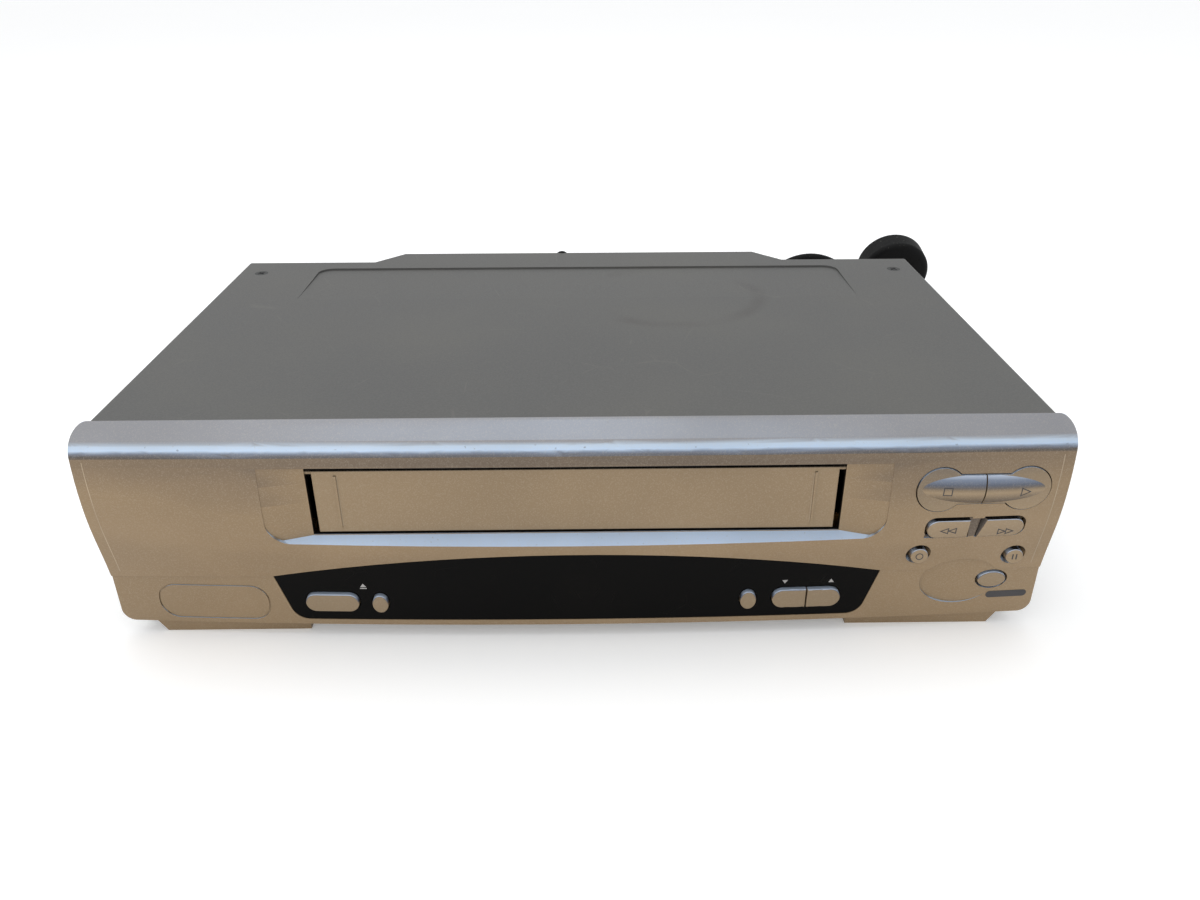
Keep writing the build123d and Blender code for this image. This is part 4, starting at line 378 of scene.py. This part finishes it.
def champagne_panel():
    """The panel's paint: rubbed thin on the ridge's edge, with painted shade in the opening and a warm
    painted reflection on the lower part.
    """
    made, tree, shader = flake_paint_with_painted_light("champagne_panel", PANEL_STOPS, PAINT_FLAKES, 0.42, 0.25, 0.12)
    painted = shader.inputs["Base Color"].links[0].from_socket
    place = put(tree, "TexCoord", {}, "Object")
    aside, deep, high = (put(tree, "SeparateXYZ", {0: place}, axis) for axis in "XYZ")
    aside = math_of(tree, "ABSOLUTE", aside)
    facing = put(tree, "SeparateXYZ", {0: put(tree, "TexCoord", {}, "Normal")}, "Z")
    from_ridge = math_of(tree, "ABSOLUTE", math_of(tree, "SUBTRACT", high, RIDGE_Z * MM))
    ridge = all_of(tree, below(tree, from_ridge, 0.75, 0.45), below(tree, deep, RIDGE_Y, 0.75))
    worn = put(tree, "TexNoise", {"Vector": place, "Scale": 520.0, "Detail": 3.0})
    bare = all_of(tree, ridge, step_of(tree, worn, 0.68, 0.72, 0.0, 0.45))
    painted = mixed(tree, bare, painted, rgb(92, 92, 100))
    # painted shade: the surfaces in the cassette opening, behind the face, are darkened where shade falls
    opening_shade = all_of(
        tree,
        above(tree, high, OPENING_BOTTOM, 0.3),
        below(tree, high, OPENING_TOP, 0.3),
        below(tree, aside, OPENING_SIDE, 0.5),
        above(tree, deep, OPENING_Y, 0.15),
    )
    painted = mixed(tree, opening_shade, painted, rgb(26, 22, 18))
    # painted reflection: on the lower part, faces turned up take a warm colour in place of the bluish painted
    # reflection
    lower_warm_reflection = all_of(tree, below(tree, high, LOWER_TOP, 0.5), below(tree, aside, LOWER_SIDE, 1.0))
    lower_warm_reflection = all_of(tree, lower_warm_reflection, step_of(tree, facing, 0.15, 0.3))
    set_shader(tree, shader, {"Base Color": mixed(tree, lower_warm_reflection, painted, rgb(112, 94, 72))})
    return made


def grey_cover():
    """The cover's textured paint, with a rubbed ring, dust and a few scratches."""
    made, tree, shader = new_material("grey_cover")
    place = put(tree, "TexCoord", {}, "Object")
    drift = put(tree, "TexNoise", {"Vector": place, "Scale": 7.0, "Detail": 3.0})
    base = mixed(tree, step_of(tree, drift, 0.35, 0.7), rgb(88, 88, 87), rgb(92, 92, 90))
    fine = put(tree, "TexNoise", {"Vector": place, "Scale": 1300.0, "Detail": 2.0})
    base = mixed(tree, step_of(tree, fine, 0.35, 0.75, 0.0, 0.16), base, rgb(114, 114, 111))
    ring = put(tree, "VectorMath", {0: place, 1: RUB_MIDDLE}, "Value", operation="DISTANCE")
    from_ring = math_of(tree, "ABSOLUTE", math_of(tree, "SUBTRACT", ring, RUB_R * MM))
    wipe = put(tree, "TexNoise", {"Vector": place, "Scale": 26.0, "Detail": 2.0})
    smudge = all_of(tree, below(tree, from_ring, 3.25, 2.75), step_of(tree, wipe, 0.45, 0.7, 0.0, 0.3))
    base = mixed(tree, smudge, base, rgb(66, 63, 60))
    inputs = {"Colour": base, "Dust": rgb(122, 118, 110), "Amount": 0.07, "Scale": 14.0}
    base, cover = use(tree, DUST, inputs, "Colour", "Cover")
    marks = use(tree, SCRATCH, {"Scale": 26.0, "Amount": 0.25}, "Marks")
    base = mixed(tree, marks, base, rgb(112, 110, 106))
    inputs = {"Scale": 1500.0, "Depth": 0.00012, "Strength": 0.45}
    relief, height = use(tree, GRAIN, inputs, "Normal", "Height")
    rough = step_of(tree, height, 0.3, 0.7, 0.5, 0.62)
    rough = math_of(tree, "ADD", rough, math_of(tree, "MULTIPLY", cover, 0.5), True)
    values = {"Base Color": base, "Roughness": rough, "Normal": relief, "Specular IOR Level": 0.2}
    set_shader(tree, shader, values)
    return made


def smoked_window():
    """The window's near-black plastic, hazed by wiping, with fine scratches and a little dust."""
    made, tree, shader = new_material("smoked_window")
    place = put(tree, "TexCoord", {}, "Object")
    haze = put(tree, "TexNoise", {"Vector": place, "Scale": 30.0, "Detail": 5.0, "Roughness": 0.6})
    base = mixed(tree, step_of(tree, haze, 0.45, 0.75, 0.0, 0.5), rgb(4, 3, 2), rgb(10, 8, 6))
    marks = use(tree, SCRATCH, {"Scale": 90.0, "Amount": 0.5}, "Marks")
    base = mixed(tree, math_of(tree, "MULTIPLY", marks, 0.06), base, rgb(90, 86, 80))
    inputs = {"Colour": base, "Dust": rgb(90, 85, 78), "Amount": 0.06, "Scale": 60.0}
    base = use(tree, DUST, inputs, "Colour")
    rough = step_of(tree, haze, 0.4, 0.8, 0.1, 0.24)
    rough = math_of(tree, "ADD", rough, math_of(tree, "MULTIPLY", marks, 0.2), True)
    set_shader(tree, shader, {"Base Color": base, "Roughness": rough, "Specular IOR Level": 0.07})
    return made


def black_pvc():
    """The cord's and the plug's dull black plastic."""
    made, tree, shader = plain_plastic("black_pvc", (6, 6, 7), 0.62, 700.0, 0.00006, 0.01, (9, 9, 11))
    set_shader(tree, shader, {"Specular IOR Level": 0.14})
    return made


# plastics: colour, roughness, and the scale, depth and dust of the grain where they differ from the usual
PLASTICS = (
    ("black_rubber", (26, 25, 24), 0.72, 900.0, 0.00012, 0.15),
    ("black_plastic", (24, 23, 22), 0.46),
    ("board_resin", (168, 128, 78), 0.5, 500.0),
    ("green_board", (34, 84, 44), 0.4, 600.0),
    ("white_nylon", (214, 210, 198), 0.44),
    ("tube_glass", (40, 46, 44), 0.12, 300.0, 0.00001),
    ("black_steel", (24, 26, 27), 0.6, 1600.0, 0.0001, 0.03),
    ("dark_ink", (52, 50, 52), 0.5, 2000.0, 0.00002, 0.0),
    # the light ink serves both the window's printed marks and a painted highlight along the window's arched
    # edge
    ("light_ink_and_highlight", (150, 148, 146), 0.5, 2000.0, 0.00002, 0.0),
    # a light colour for the painted highlight lines along edges and ridges
    ("highlight_line", (160, 143, 120), 0.45, 2000.0, 0.00002, 0.0),
)
# metals: colour, roughness, the stretch and scale of the grain, the stains' colour and the metallic share
METALS = (
    ("tray_steel", (166, 168, 168), 0.38, (1.0, 0.06, 1.0), 300.0, (190, 186, 160)),
    ("deck_steel", (176, 178, 180), 0.3, (0.05, 1.0, 1.0)),
    ("drum_aluminium", (198, 200, 203), 0.2, (1.0, 1.0, 12.0), 220.0),
    ("socket_metal", (196, 196, 190), 0.28, (1.0, 1.0, 1.0), 500.0),
    ("pin_brass", (204, 178, 110), 0.26, (1.0, 1.0, 1.0), 400.0),
    ("copper_winding", (168, 98, 58), 0.4, (1.0, 1.0, 20.0), 120.0, None, 0.7),
)
MATERIALS["champagne_panel"] = champagne_panel()
MATERIALS["silver_buttons"] = flake_paint_with_painted_light("silver_buttons", BUTTON_STOPS, BUTTON_FLAKES, 0.36, 0.3, 0.1)[0]
MATERIALS["grey_cover"] = grey_cover()
MATERIALS["smoked_window"] = smoked_window()
MATERIALS["black_pvc"] = black_pvc()
MATERIALS |= {name: plain_plastic(name, *values)[0] for name, *values in PLASTICS}
MATERIALS |= {name: plain_metal(name, *values)[0] for name, *values in METALS}

# the buttons that stand in wells and the flap have painted shadow on their upper edges, in the gaps above
# them
WELL_SHADED = flake_paint_with_painted_light("well_buttons", WELL_STOPS, BUTTON_FLAKES, 0.36, 0.3, 0.1)[0]
FLAP_SHADED = flake_paint_with_painted_light("flap_paint_shaded", FLAP_STOPS, PAINT_FLAKES, 0.42, 0.25, 0.12)[0]
OWN = {name + "_button": WELL_SHADED for name in ("rewind", "fast_forward", "record", "pause")}
OWN["cassette_flap"] = FLAP_SHADED

for name, node in NODES.items():
    for slot in node.material_slots:
        key = slot.material.name.split(".")[0]
        if key in MATERIALS:
            slot.material = OWN.get(name, MATERIALS[key])
        else:
            print("no material for", node.name, key)

# --- Mesh helpers ----------------------------------------------------------------------------


def add_piece(name, verts, faces, material, slot, body, smooth=True):
    """A mesh piece at the origin, in metres, that rides on a body. Its faces come as one or more arrays."""
    mesh = bpy.data.meshes.new(name)
    mesh.from_pydata(verts.tolist(), [], [face for block in faces for face in block.tolist()])
    mesh.validate()
    mesh.polygons.foreach_set("use_smooth", [smooth] * len(mesh.polygons))
    mesh.materials.append(material)
    piece = bpy.data.objects.new(name, mesh)
    bpy.context.collection.objects.link(piece)
    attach(piece, body)
    return piece


def grid_faces(rows, columns, closed=True):
    """The quads of a grid of points, counted along its rows, whose rows each close on themselves or not."""
    row, column = np.mgrid[0 : rows - 1, 0 : columns if closed else columns - 1]
    first, after = row * columns, (column + 1) % columns
    quads = [first + column, first + after, first + columns + after, first + columns + column]
    return np.stack(quads, axis=-1).reshape(-1, 4)


def disc_faces(rings, steps):
    """The faces of a disc: triangles round point 0, then quads between rings of steps points each."""
    k = np.arange(steps)
    fan = np.stack([0 * k, 1 + k, 1 + (k + 1) % steps], axis=-1)
    return [fan, 1 + grid_faces(rings, steps)[:, ::-1]]


def round_angles(steps):
    """Evenly spaced angles round a circle."""
    return 2 * np.pi * np.arange(steps) / steps


def standing(start, way, u, v, s):
    """Points in metres: start + side u + up v + way s, in millimetres, with side and up square to way."""
    way = Vector(way).normalized()
    side = way.orthogonal().normalized()
    places = np.stack(np.broadcast_arrays(u, v, s), axis=-1).reshape(-1, 3)
    return np.array(start) + MM * places @ np.array([side, way.cross(side), way])


def lathe(start, way, profile, steps=48):
    """A surface of revolution: profile holds (distance along way, radius) from a start, in millimetres.

    A point is start + way s + r (side cos a + up sin a), for s, r on the profile and a round the circle.
    """
    s, r = np.transpose(profile)[:, :, None]
    a = round_angles(steps)
    return standing(start, way, r * np.cos(a), r * np.sin(a), s), [grid_faces(len(profile), steps)]


def joined(parts):
    """Several shapes, each its vertices and its blocks of faces, as one."""
    starts = np.cumsum([0] + [len(verts) for verts, _ in parts])
    faces = [block + start for start, (_, blocks) in zip(starts, parts) for block in blocks]
    return np.concatenate([verts for verts, _ in parts]), faces


TREES = {}


def surface_y(node, x, z):
    """Y in metres of the first surface of a CAD node that a ray towards +Y meets, x and z in millimetres."""
    if node not in TREES:
        mesh = NODES[node].data
        TREES[node] = BVHTree.FromPolygons([v.co for v in mesh.vertices], [p.vertices for p in mesh.polygons])
    hit = TREES[node].ray_cast(Vector((x * MM, -0.3, z * MM)), Vector((0, 1, 0)))[0]
    return math.nan if hit is None else hit.y


def even(points, longest=1.0, closed=True):
    """A path's points with more between them, none further apart than longest.

    A run from p to q is cut into n even parts, at p + (q - p) k / n.
    """
    points = np.array(points, dtype=float)
    ends = np.vstack([points, points[:1]]) if closed else points
    runs = np.diff(ends, axis=0)
    parts = np.maximum(1, np.ceil(np.hypot(*runs.T) / longest)).astype(int)
    run = np.repeat(np.arange(len(runs)), parts)
    k = np.arange(len(run)) - np.repeat(np.cumsum(parts) - parts, parts)
    path = ends[run] + runs[run] * (k / parts[run])[:, None]
    return path if closed else np.vstack([path, points[-1:]])


def outline(points, width, closed=True):
    """A ribbon of a width along a path in x and z, with its corners mitred.

    Its edges are p - n w and p + n w, for each p on the path. There n is square to the sum of the unit runs
    before and after p, and w is half the width over the cosine between that sum and the run before, kept
    above 0.4.
    """
    path = even(points, closed=closed)
    after = np.roll(path, -1, axis=0) - path
    if not closed:
        after[-1] = after[-2]
    after /= np.hypot(*after.T)[:, None]
    before = np.roll(after, 1, axis=0)
    if not closed:
        before[0] = after[0]
    along = before + after
    along /= np.hypot(*along.T)[:, None]
    cosine = np.maximum(0.4, (along * before).sum(axis=1))
    reach = along[:, ::-1] * (-1, 1) * (width / 2 / cosine)[:, None]
    return np.vstack([path - reach, path + reach]), [grid_faces(2, len(path), closed)]


def filled(points, rings=4):
    """A filled outline in x and z, in rings at middle + (edge - middle) k / n, to follow a curved surface."""
    path = even(points)
    middle = path.mean(axis=0)
    share = np.arange(1, rings + 1)[:, None, None] / rings
    verts = (middle + (path - middle) * share).reshape(-1, 2)
    return np.vstack([middle, verts]), disc_faces(rings, len(path))


def print_on(name, node, shapes, material, slot, body, lift=0.06):
    """Flat marks laid on the front of a CAD node, a lift in millimetres in front of its surface."""
    verts, faces = joined(shapes)
    y = np.array([surface_y(node, x, z) for x, z in verts]) - lift * MM
    laid = np.column_stack([verts[:, 0] * MM, y, verts[:, 1] * MM])
    return add_piece(name, laid, faces, material, slot, body, smooth=False)


def pill(left, right, bottom, top, steps=8):
    """The outline of a box with round ends, each its middle +- r (sin a, cos a) for a up to half a turn."""
    radius, middle = (top - bottom) / 2, (top + bottom) / 2
    a = np.linspace(0, np.pi, steps + 1)
    end = radius * np.column_stack([np.sin(a), np.cos(a)])
    return np.vstack([(right - radius, middle) + end, (left + radius, middle) - end])


def circle(x, z, radius, steps=24):
    """A round outline, (x, z) + r (cos a, sin a)."""
    a = round_angles(steps)
    return (x, z) + radius * np.column_stack([np.cos(a), np.sin(a)])


def triangle(x, z, half_w, half_h, turn=0.0):
    """A triangle pointing to the right, turned by an angle in degrees."""
    cos, sin = math.cos(math.radians(turn)), math.sin(math.radians(turn))
    corners = np.array([(-half_w, -half_h), (half_w, 0.0), (-half_w, half_h)])
    return (x, z) + corners @ [(cos, sin), (-sin, cos)]


def square(x, z, half):
    """A square outline."""
    return (x, z) + half * np.array([(-1, -1), (1, -1), (1, 1), (-1, 1)])


# --- Printed marks and painted highlights ----------------------------------------------------
LINE, HAIR = 0.35, 0.3


def mark(name, node, shapes, body, dark=True):
    """Marks printed on a CAD node, in the dark ink of the panel or the light ink of the window."""
    ink = "dark_ink" if dark else "light_ink_and_highlight"
    print_on(name, node, shapes, MATERIALS[ink], "black_plastic" if dark else "silver_buttons", body)


mark("stop_mark", "stop_button", [outline(square(134.9, 66.4, 1.5), LINE)], "stop_button")
mark("play_mark", "play_button", [outline(triangle(163.8, 65.7, 1.7, 1.7), LINE)], "play_button")
for name, x, z, turn in (("rewind", 138.3, 48.8, 180.0), ("fast_forward", 160.3, 47.7, 0.0)):
    heads = [outline(triangle(x + shift, z, 1.4, 1.2, turn), LINE) for shift in (-1.5, 1.5)]
    mark(name + "_mark", name + "_button", heads, name + "_button")
mark("record_mark", "record_button", [outline(circle(129.6, 36.8, 1.3), LINE)], "record_button")
bars = [outline([(x, 33.4), (x, 35.8)], 0.5, closed=False) for x in (166.5, 167.9)]
mark("pause_mark", "pause_button", bars, "pause_button")
eject = [filled(triangle(-82.6, 24.6, 0.8, 1.2, 90.0))]
eject.append(outline([(-83.9, 23.2), (-81.3, 23.2)], 0.4, closed=False))
mark("eject_mark", "display_window", eject, "case", dark=False)
arrows = [filled(triangle(x, 24.4, 0.8, 1.1, turn)) for x, turn in ((80.0, -90.0), (98.0, 90.0))]
mark("channel_marks", "display_window", arrows, "case", dark=False)
mark("port_label", "front_panel", [filled(pill(160.7, 177.2, 13.3, 16.4))], "case")

# painted highlights, thin bright lines: along the panel's end seams, the window's arched top and the flap's
# two upright ridges
WINDOW_HALF, ARCH_TOP, ARCH_DROP = 117.0, 41.1, 11.6
seam_highlights = [outline([(side * 175.6, 30.0), (side * 175.9, 80.0)], HAIR, closed=False) for side in (-1, 1)]
print_on("end_seam_highlights", "front_panel", seam_highlights, MATERIALS["highlight_line"], "silver_buttons", "case", lift=0.03)
share = np.arange(-23, 24) / 24
arch = np.column_stack([WINDOW_HALF * share, ARCH_TOP - ARCH_DROP * share**2])
# painted highlight: a light line along the window's arched top edge
edge = [outline(arch, 0.22, closed=False)]
print_on("window_edge_highlight", "display_window", edge, MATERIALS["light_ink_and_highlight"], "silver_buttons", "case")
# painted highlights along the flap's two upright grip ridges
ridge_highlights = [outline([(side * 86.7, 51.5), (side * 86.7, 72.5)], HAIR, closed=False) for side in (-1, 1)]
print_on("grip_lights", "cassette_flap", ridge_highlights, MATERIALS["highlight_line"], "silver_buttons", "flap", lift=0.03)

# --- Screw heads -----------------------------------------------------------------------------
COVER_SCREW_R, REAR_SCREW_R, REAR_SCREW_RISE = 3.38, 3.7, 1.5
CROSS_DEPTH, CROSS_HALF, CROSS_REACH = 0.9, 0.55, 2.0


def screw_head(centre, way, radius, dome, rings=14, steps=64):
    """A domed head with a cross recess.

    Height is dome (1 - (r/R)^2) less a recess of depth 0.9 that fades out at |u| = 0.55, over |v| < 2, for u
    and v the smaller and larger of the two distances from the middle.
    """
    r, a = radius * np.arange(1, rings + 1)[:, None] / rings, round_angles(steps)
    u, v = np.append(0.0, r * np.cos(a)), np.append(0.0, r * np.sin(a))
    small, large = np.sort(np.abs([u, v]), axis=0)
    slot = np.clip((CROSS_HALF - small) / 0.25, 0, 1) * np.clip((CROSS_REACH - large) / 0.5, 0, 1)
    height = dome * (1 - (u**2 + v**2) / radius**2) - CROSS_DEPTH * slot
    return standing(centre, way, u, v, height), disc_faces(rings, steps)


heads = [screw_head(at(x, 181.0, 91.95), (0, 0, 1), COVER_SCREW_R, 0.08) for x in (-163.0, 163.0)]
rear, outwards = at(-9.3, 213.5, 89.0), Vector((0, 1, 0))
heads.append(screw_head(rear + outwards * REAR_SCREW_RISE * MM, outwards, REAR_SCREW_R, 0.6))
rim = [(0.0, REAR_SCREW_R), (1.2, 3.75), (REAR_SCREW_RISE, REAR_SCREW_R)]
heads.append(lathe(rear, outwards, rim))
screws = add_piece("screw_heads", *joined(heads), MATERIALS["black_steel"], "black_steel", "case")
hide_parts("cover_screws")

# --- Cord ------------------------------------------------------------------------------------
CORD_R = 2.8
LEAD_IN = [
    (76.0, 226.5, 20.0),
    (76.0, 241.0, 20.0),
    (78.8, 258.2, 27.7),
    (88.9, 267.5, 37.0),
    (103.3, 268.8, 45.3),
]
TAIL = [
    (91.6, 241.4, 28.4),
    (92.0, 241.5, 47.5),
    (107.5, 243.2, 64.5),
    (121.6, 244.1, 77.2),
    (138.4, 245.0, 79.4),
    (153.8, 245.5, 72.2),
    (156.5, 245.6, 70.9),
]
COIL_R, COIL_LEFT, COIL_RIGHT, COIL_Z = 22.6, 114.2, 183.0, 25.45
COIL_DEPTH, COIL_PITCH = 268.8, 5.6
COIL_TURNS, COIL_STEPS = 5, 12


def coil_points():
    """The control points of the winding, 48 a turn: 12 on each straight run and 12 on each half circle.

    A point is (c + Q cos a, depth, z + Q sin a) for a half circle round c, with a 15 degrees apart from 7.5
    degrees on, and Q = R / cos 7.5, so that the spline touches the circle of radius R half way between its
    points. The straight runs end as far from the middles c as the half circles' points begin, R tan 7.5.
    """
    half_step = math.pi / 2 / COIL_STEPS
    lead, reach = COIL_R * math.tan(half_step), COIL_R / math.cos(half_step)
    turn = []
    for side, begin, end in ((1, COIL_LEFT, COIL_RIGHT), (-1, COIL_RIGHT, COIL_LEFT)):
        x = np.linspace(begin + side * lead, end - side * lead, COIL_STEPS)
        a = side * math.pi / 2 - half_step * (2 * np.arange(COIL_STEPS) + 1)
        turn.append(np.column_stack([x, np.full(COIL_STEPS, COIL_Z + side * COIL_R)]))
        turn.append((end, COIL_Z) + reach * np.column_stack([np.cos(a), np.sin(a)]))
    x, z = np.tile(np.vstack(turn).T, COIL_TURNS)
    depth = COIL_DEPTH - COIL_PITCH * np.arange(1, len(x) + 1) / (4 * COIL_STEPS)
    start = (COIL_LEFT, COIL_DEPTH, COIL_Z + COIL_R)
    return np.vstack([start, np.column_stack([x, depth, z])[1:-6]])


def cord_curve(points):
    """The whole cord as one smooth spline."""
    data = bpy.data.curves.new("mains_lead", "CURVE")
    data.dimensions = "3D"
    spline = data.splines.new("NURBS")
    spline.points.add(len(points) - 1)
    places = (points + (0.0, FACE_Y, 0.0)) * MM
    weighted = np.column_stack([places, np.ones(len(places))])
    spline.points.foreach_set("co", weighted.astype(np.float32).ravel())
    spline.order_u = 3
    spline.use_endpoint_u = True
    data.resolution_u = 8
    data.bevel_depth = CORD_R * MM
    data.bevel_resolution = 5
    data.use_fill_caps = True
    data.materials.append(MATERIALS["black_pvc"])
    cord = bpy.data.objects.new("mains_lead", data)
    bpy.context.collection.objects.link(cord)
    return cord


cord = cord_curve(np.vstack([LEAD_IN, coil_points(), TAIL]))
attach(cord, "case")
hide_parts("mains_cord", "mains_cord_coil", "mains_cord_tail")

GLAND = at(76.0, 212.5, 20.0)
SLEEVE_START, SLEEVE_END, SLEEVE_ROOT_R, SLEEVE_TIP_R = 2.0, 22.0, 4.9, 3.2
RIB, RIB_DEPTH = 1.6, 0.55


def sleeve_profile():
    """The cord's ribbed sleeve behind its collar, as (distance, radius).

    Its radius falls evenly from root to tip, less 0.55 sin(pi (s - 4) / 1.6) where that is above 0, for s
    from 4 to 20, which makes five grooves.
    """
    collar = [(0.0, 6.3), (0.4, 6.5), (1.6, 6.5), (SLEEVE_START, 6.2)]
    s = np.linspace(SLEEVE_START, SLEEVE_END, 41)
    ribbed = (s > SLEEVE_START + 2.0) & (s < SLEEVE_END - 2.0)
    groove = RIB_DEPTH * np.maximum(0.0, np.sin(np.pi * (s - SLEEVE_START - 2.0) / RIB)) * ribbed
    radius = np.linspace(SLEEVE_ROOT_R, SLEEVE_TIP_R, 41) - groove
    return np.vstack([collar, np.column_stack([s, radius]), [(22.3, 3.0), (22.4, 2.7)]])


sleeve = lathe(GLAND, outwards, sleeve_profile())
relief = add_piece("cord_relief", *sleeve, MATERIALS["black_pvc"], "black_pvc", "case")
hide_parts("cord_grommet")

# --- Sockets ---------------------------------------------------------------------------------
SOCKET_Z = 40.0
# profiles as (distance, radius)
SOCKET_RING = [(0.0, 6.0), (1.3, 6.0), (1.6, 5.7), (1.6, 4.3), (0.9, 4.2)]
SOCKET_INSULATOR = [(0.0, 1.9), (8.3, 1.9), (8.45, 2.1), (8.45, 3.2), (8.3, 3.6)]
SOCKET_COLOURS = (
    ("video", -45.0, (206, 170, 40)),
    ("audio_left", -31.0, (206, 204, 198)),
    ("audio_right", -17.0, (166, 34, 30)),
)
for name, x, colour in SOCKET_COLOURS:
    made = plain_plastic("ring_" + name, colour, 0.4)[0]
    shape = lathe(at(x, 212.6, SOCKET_Z), outwards, SOCKET_RING)
    add_piece("ring_" + name, *shape, made, "black_plastic", "case")
for name, x in (("video", -45.0), ("left", -31.0), ("right", -17.0)):
    shape = lathe(at(x, 213.6, SOCKET_Z), outwards, SOCKET_INSULATOR)
    add_piece("insulator_" + name, *shape, MATERIALS["white_nylon"], "white_nylon", "case")

# --- Floor, light and finish -----------------------------------------------------------------
VIEW_GLOW = 0.2


def seen_by_view(tree):
    """1 for rays from the camera and for those that reach it off metal or through glass, and 0 for light."""
    path = tree.nodes.new("ShaderNodeLightPath").outputs
    share = math_of(tree, "ADD", path["Is Camera Ray"], path["Is Glossy Ray"])
    return math_of(tree, "ADD", share, path["Is Transmission Ray"], True)


made, tree, shader = new_material("studio_floor")
place = put(tree, "TexCoord", {}, "Object")
drift = put(tree, "TexNoise", {"Vector": place, "Scale": 2.0, "Detail": 2.0})
pale = mixed(tree, drift, (0.95, 0.95, 0.95, 1.0), (0.97, 0.97, 0.97, 1.0))
glow = math_of(tree, "MULTIPLY", seen_by_view(tree), VIEW_GLOW)
set_shader(tree, shader, {"Base Color": pale, "Roughness": 0.9})
set_shader(tree, shader, {"Emission Color": (1, 1, 1, 1), "Emission Strength": glow})
mesh = bpy.data.meshes.new("floor")
mesh.from_pydata([(-8, -8, 0), (8, -8, 0), (8, 8, 0), (-8, 8, 0)], [], [(0, 1, 2, 3)])
mesh.materials.append(made)
floor = bpy.data.objects.new("floor", mesh)
bpy.context.collection.objects.link(floor)

world = bpy.data.worlds.new("studio")
bpy.context.scene.world = world
world.use_nodes = True
tree = world.node_tree
back = next(node for node in tree.nodes if node.type == "BACKGROUND")
rise = put(tree, "SeparateXYZ", {0: put(tree, "TexCoord", {}, "Generated")}, "Z")
sky = mixed(tree, step_of(tree, rise, -0.1, 0.7), (1.0, 0.985, 0.965, 1.0), (0.97, 0.985, 1.0, 1.0))
tree.links.new(sky, back.inputs["Color"])
strength = math_of(tree, "ADD", math_of(tree, "MULTIPLY", seen_by_view(tree), VIEW_GLOW), 0.8)
tree.links.new(strength, back.inputs["Strength"])


def soft_light(name, place, target, size, power, colour):
    """A square area light turned to a target."""
    data = bpy.data.lights.new(name, "AREA")
    data.size = size
    data.energy = power
    data.color = colour
    lamp = bpy.data.objects.new(name, data)
    lamp.location = place
    lamp.rotation_euler = (Vector(target) - Vector(place)).to_track_quat("-Z", "Y").to_euler()
    bpy.context.collection.objects.link(lamp)


soft_light("overhead", (-0.3, 0.25, 1.5), (0, 0, 0), 1.6, 9.0, (0.98, 0.99, 1.0))
soft_light("front_fill", (-0.7, -1.4, 0.7), (0, -0.1, 0.05), 1.0, 3.0, (1.0, 0.95, 0.88))

bpy.context.scene.view_settings.view_transform = "Standard"
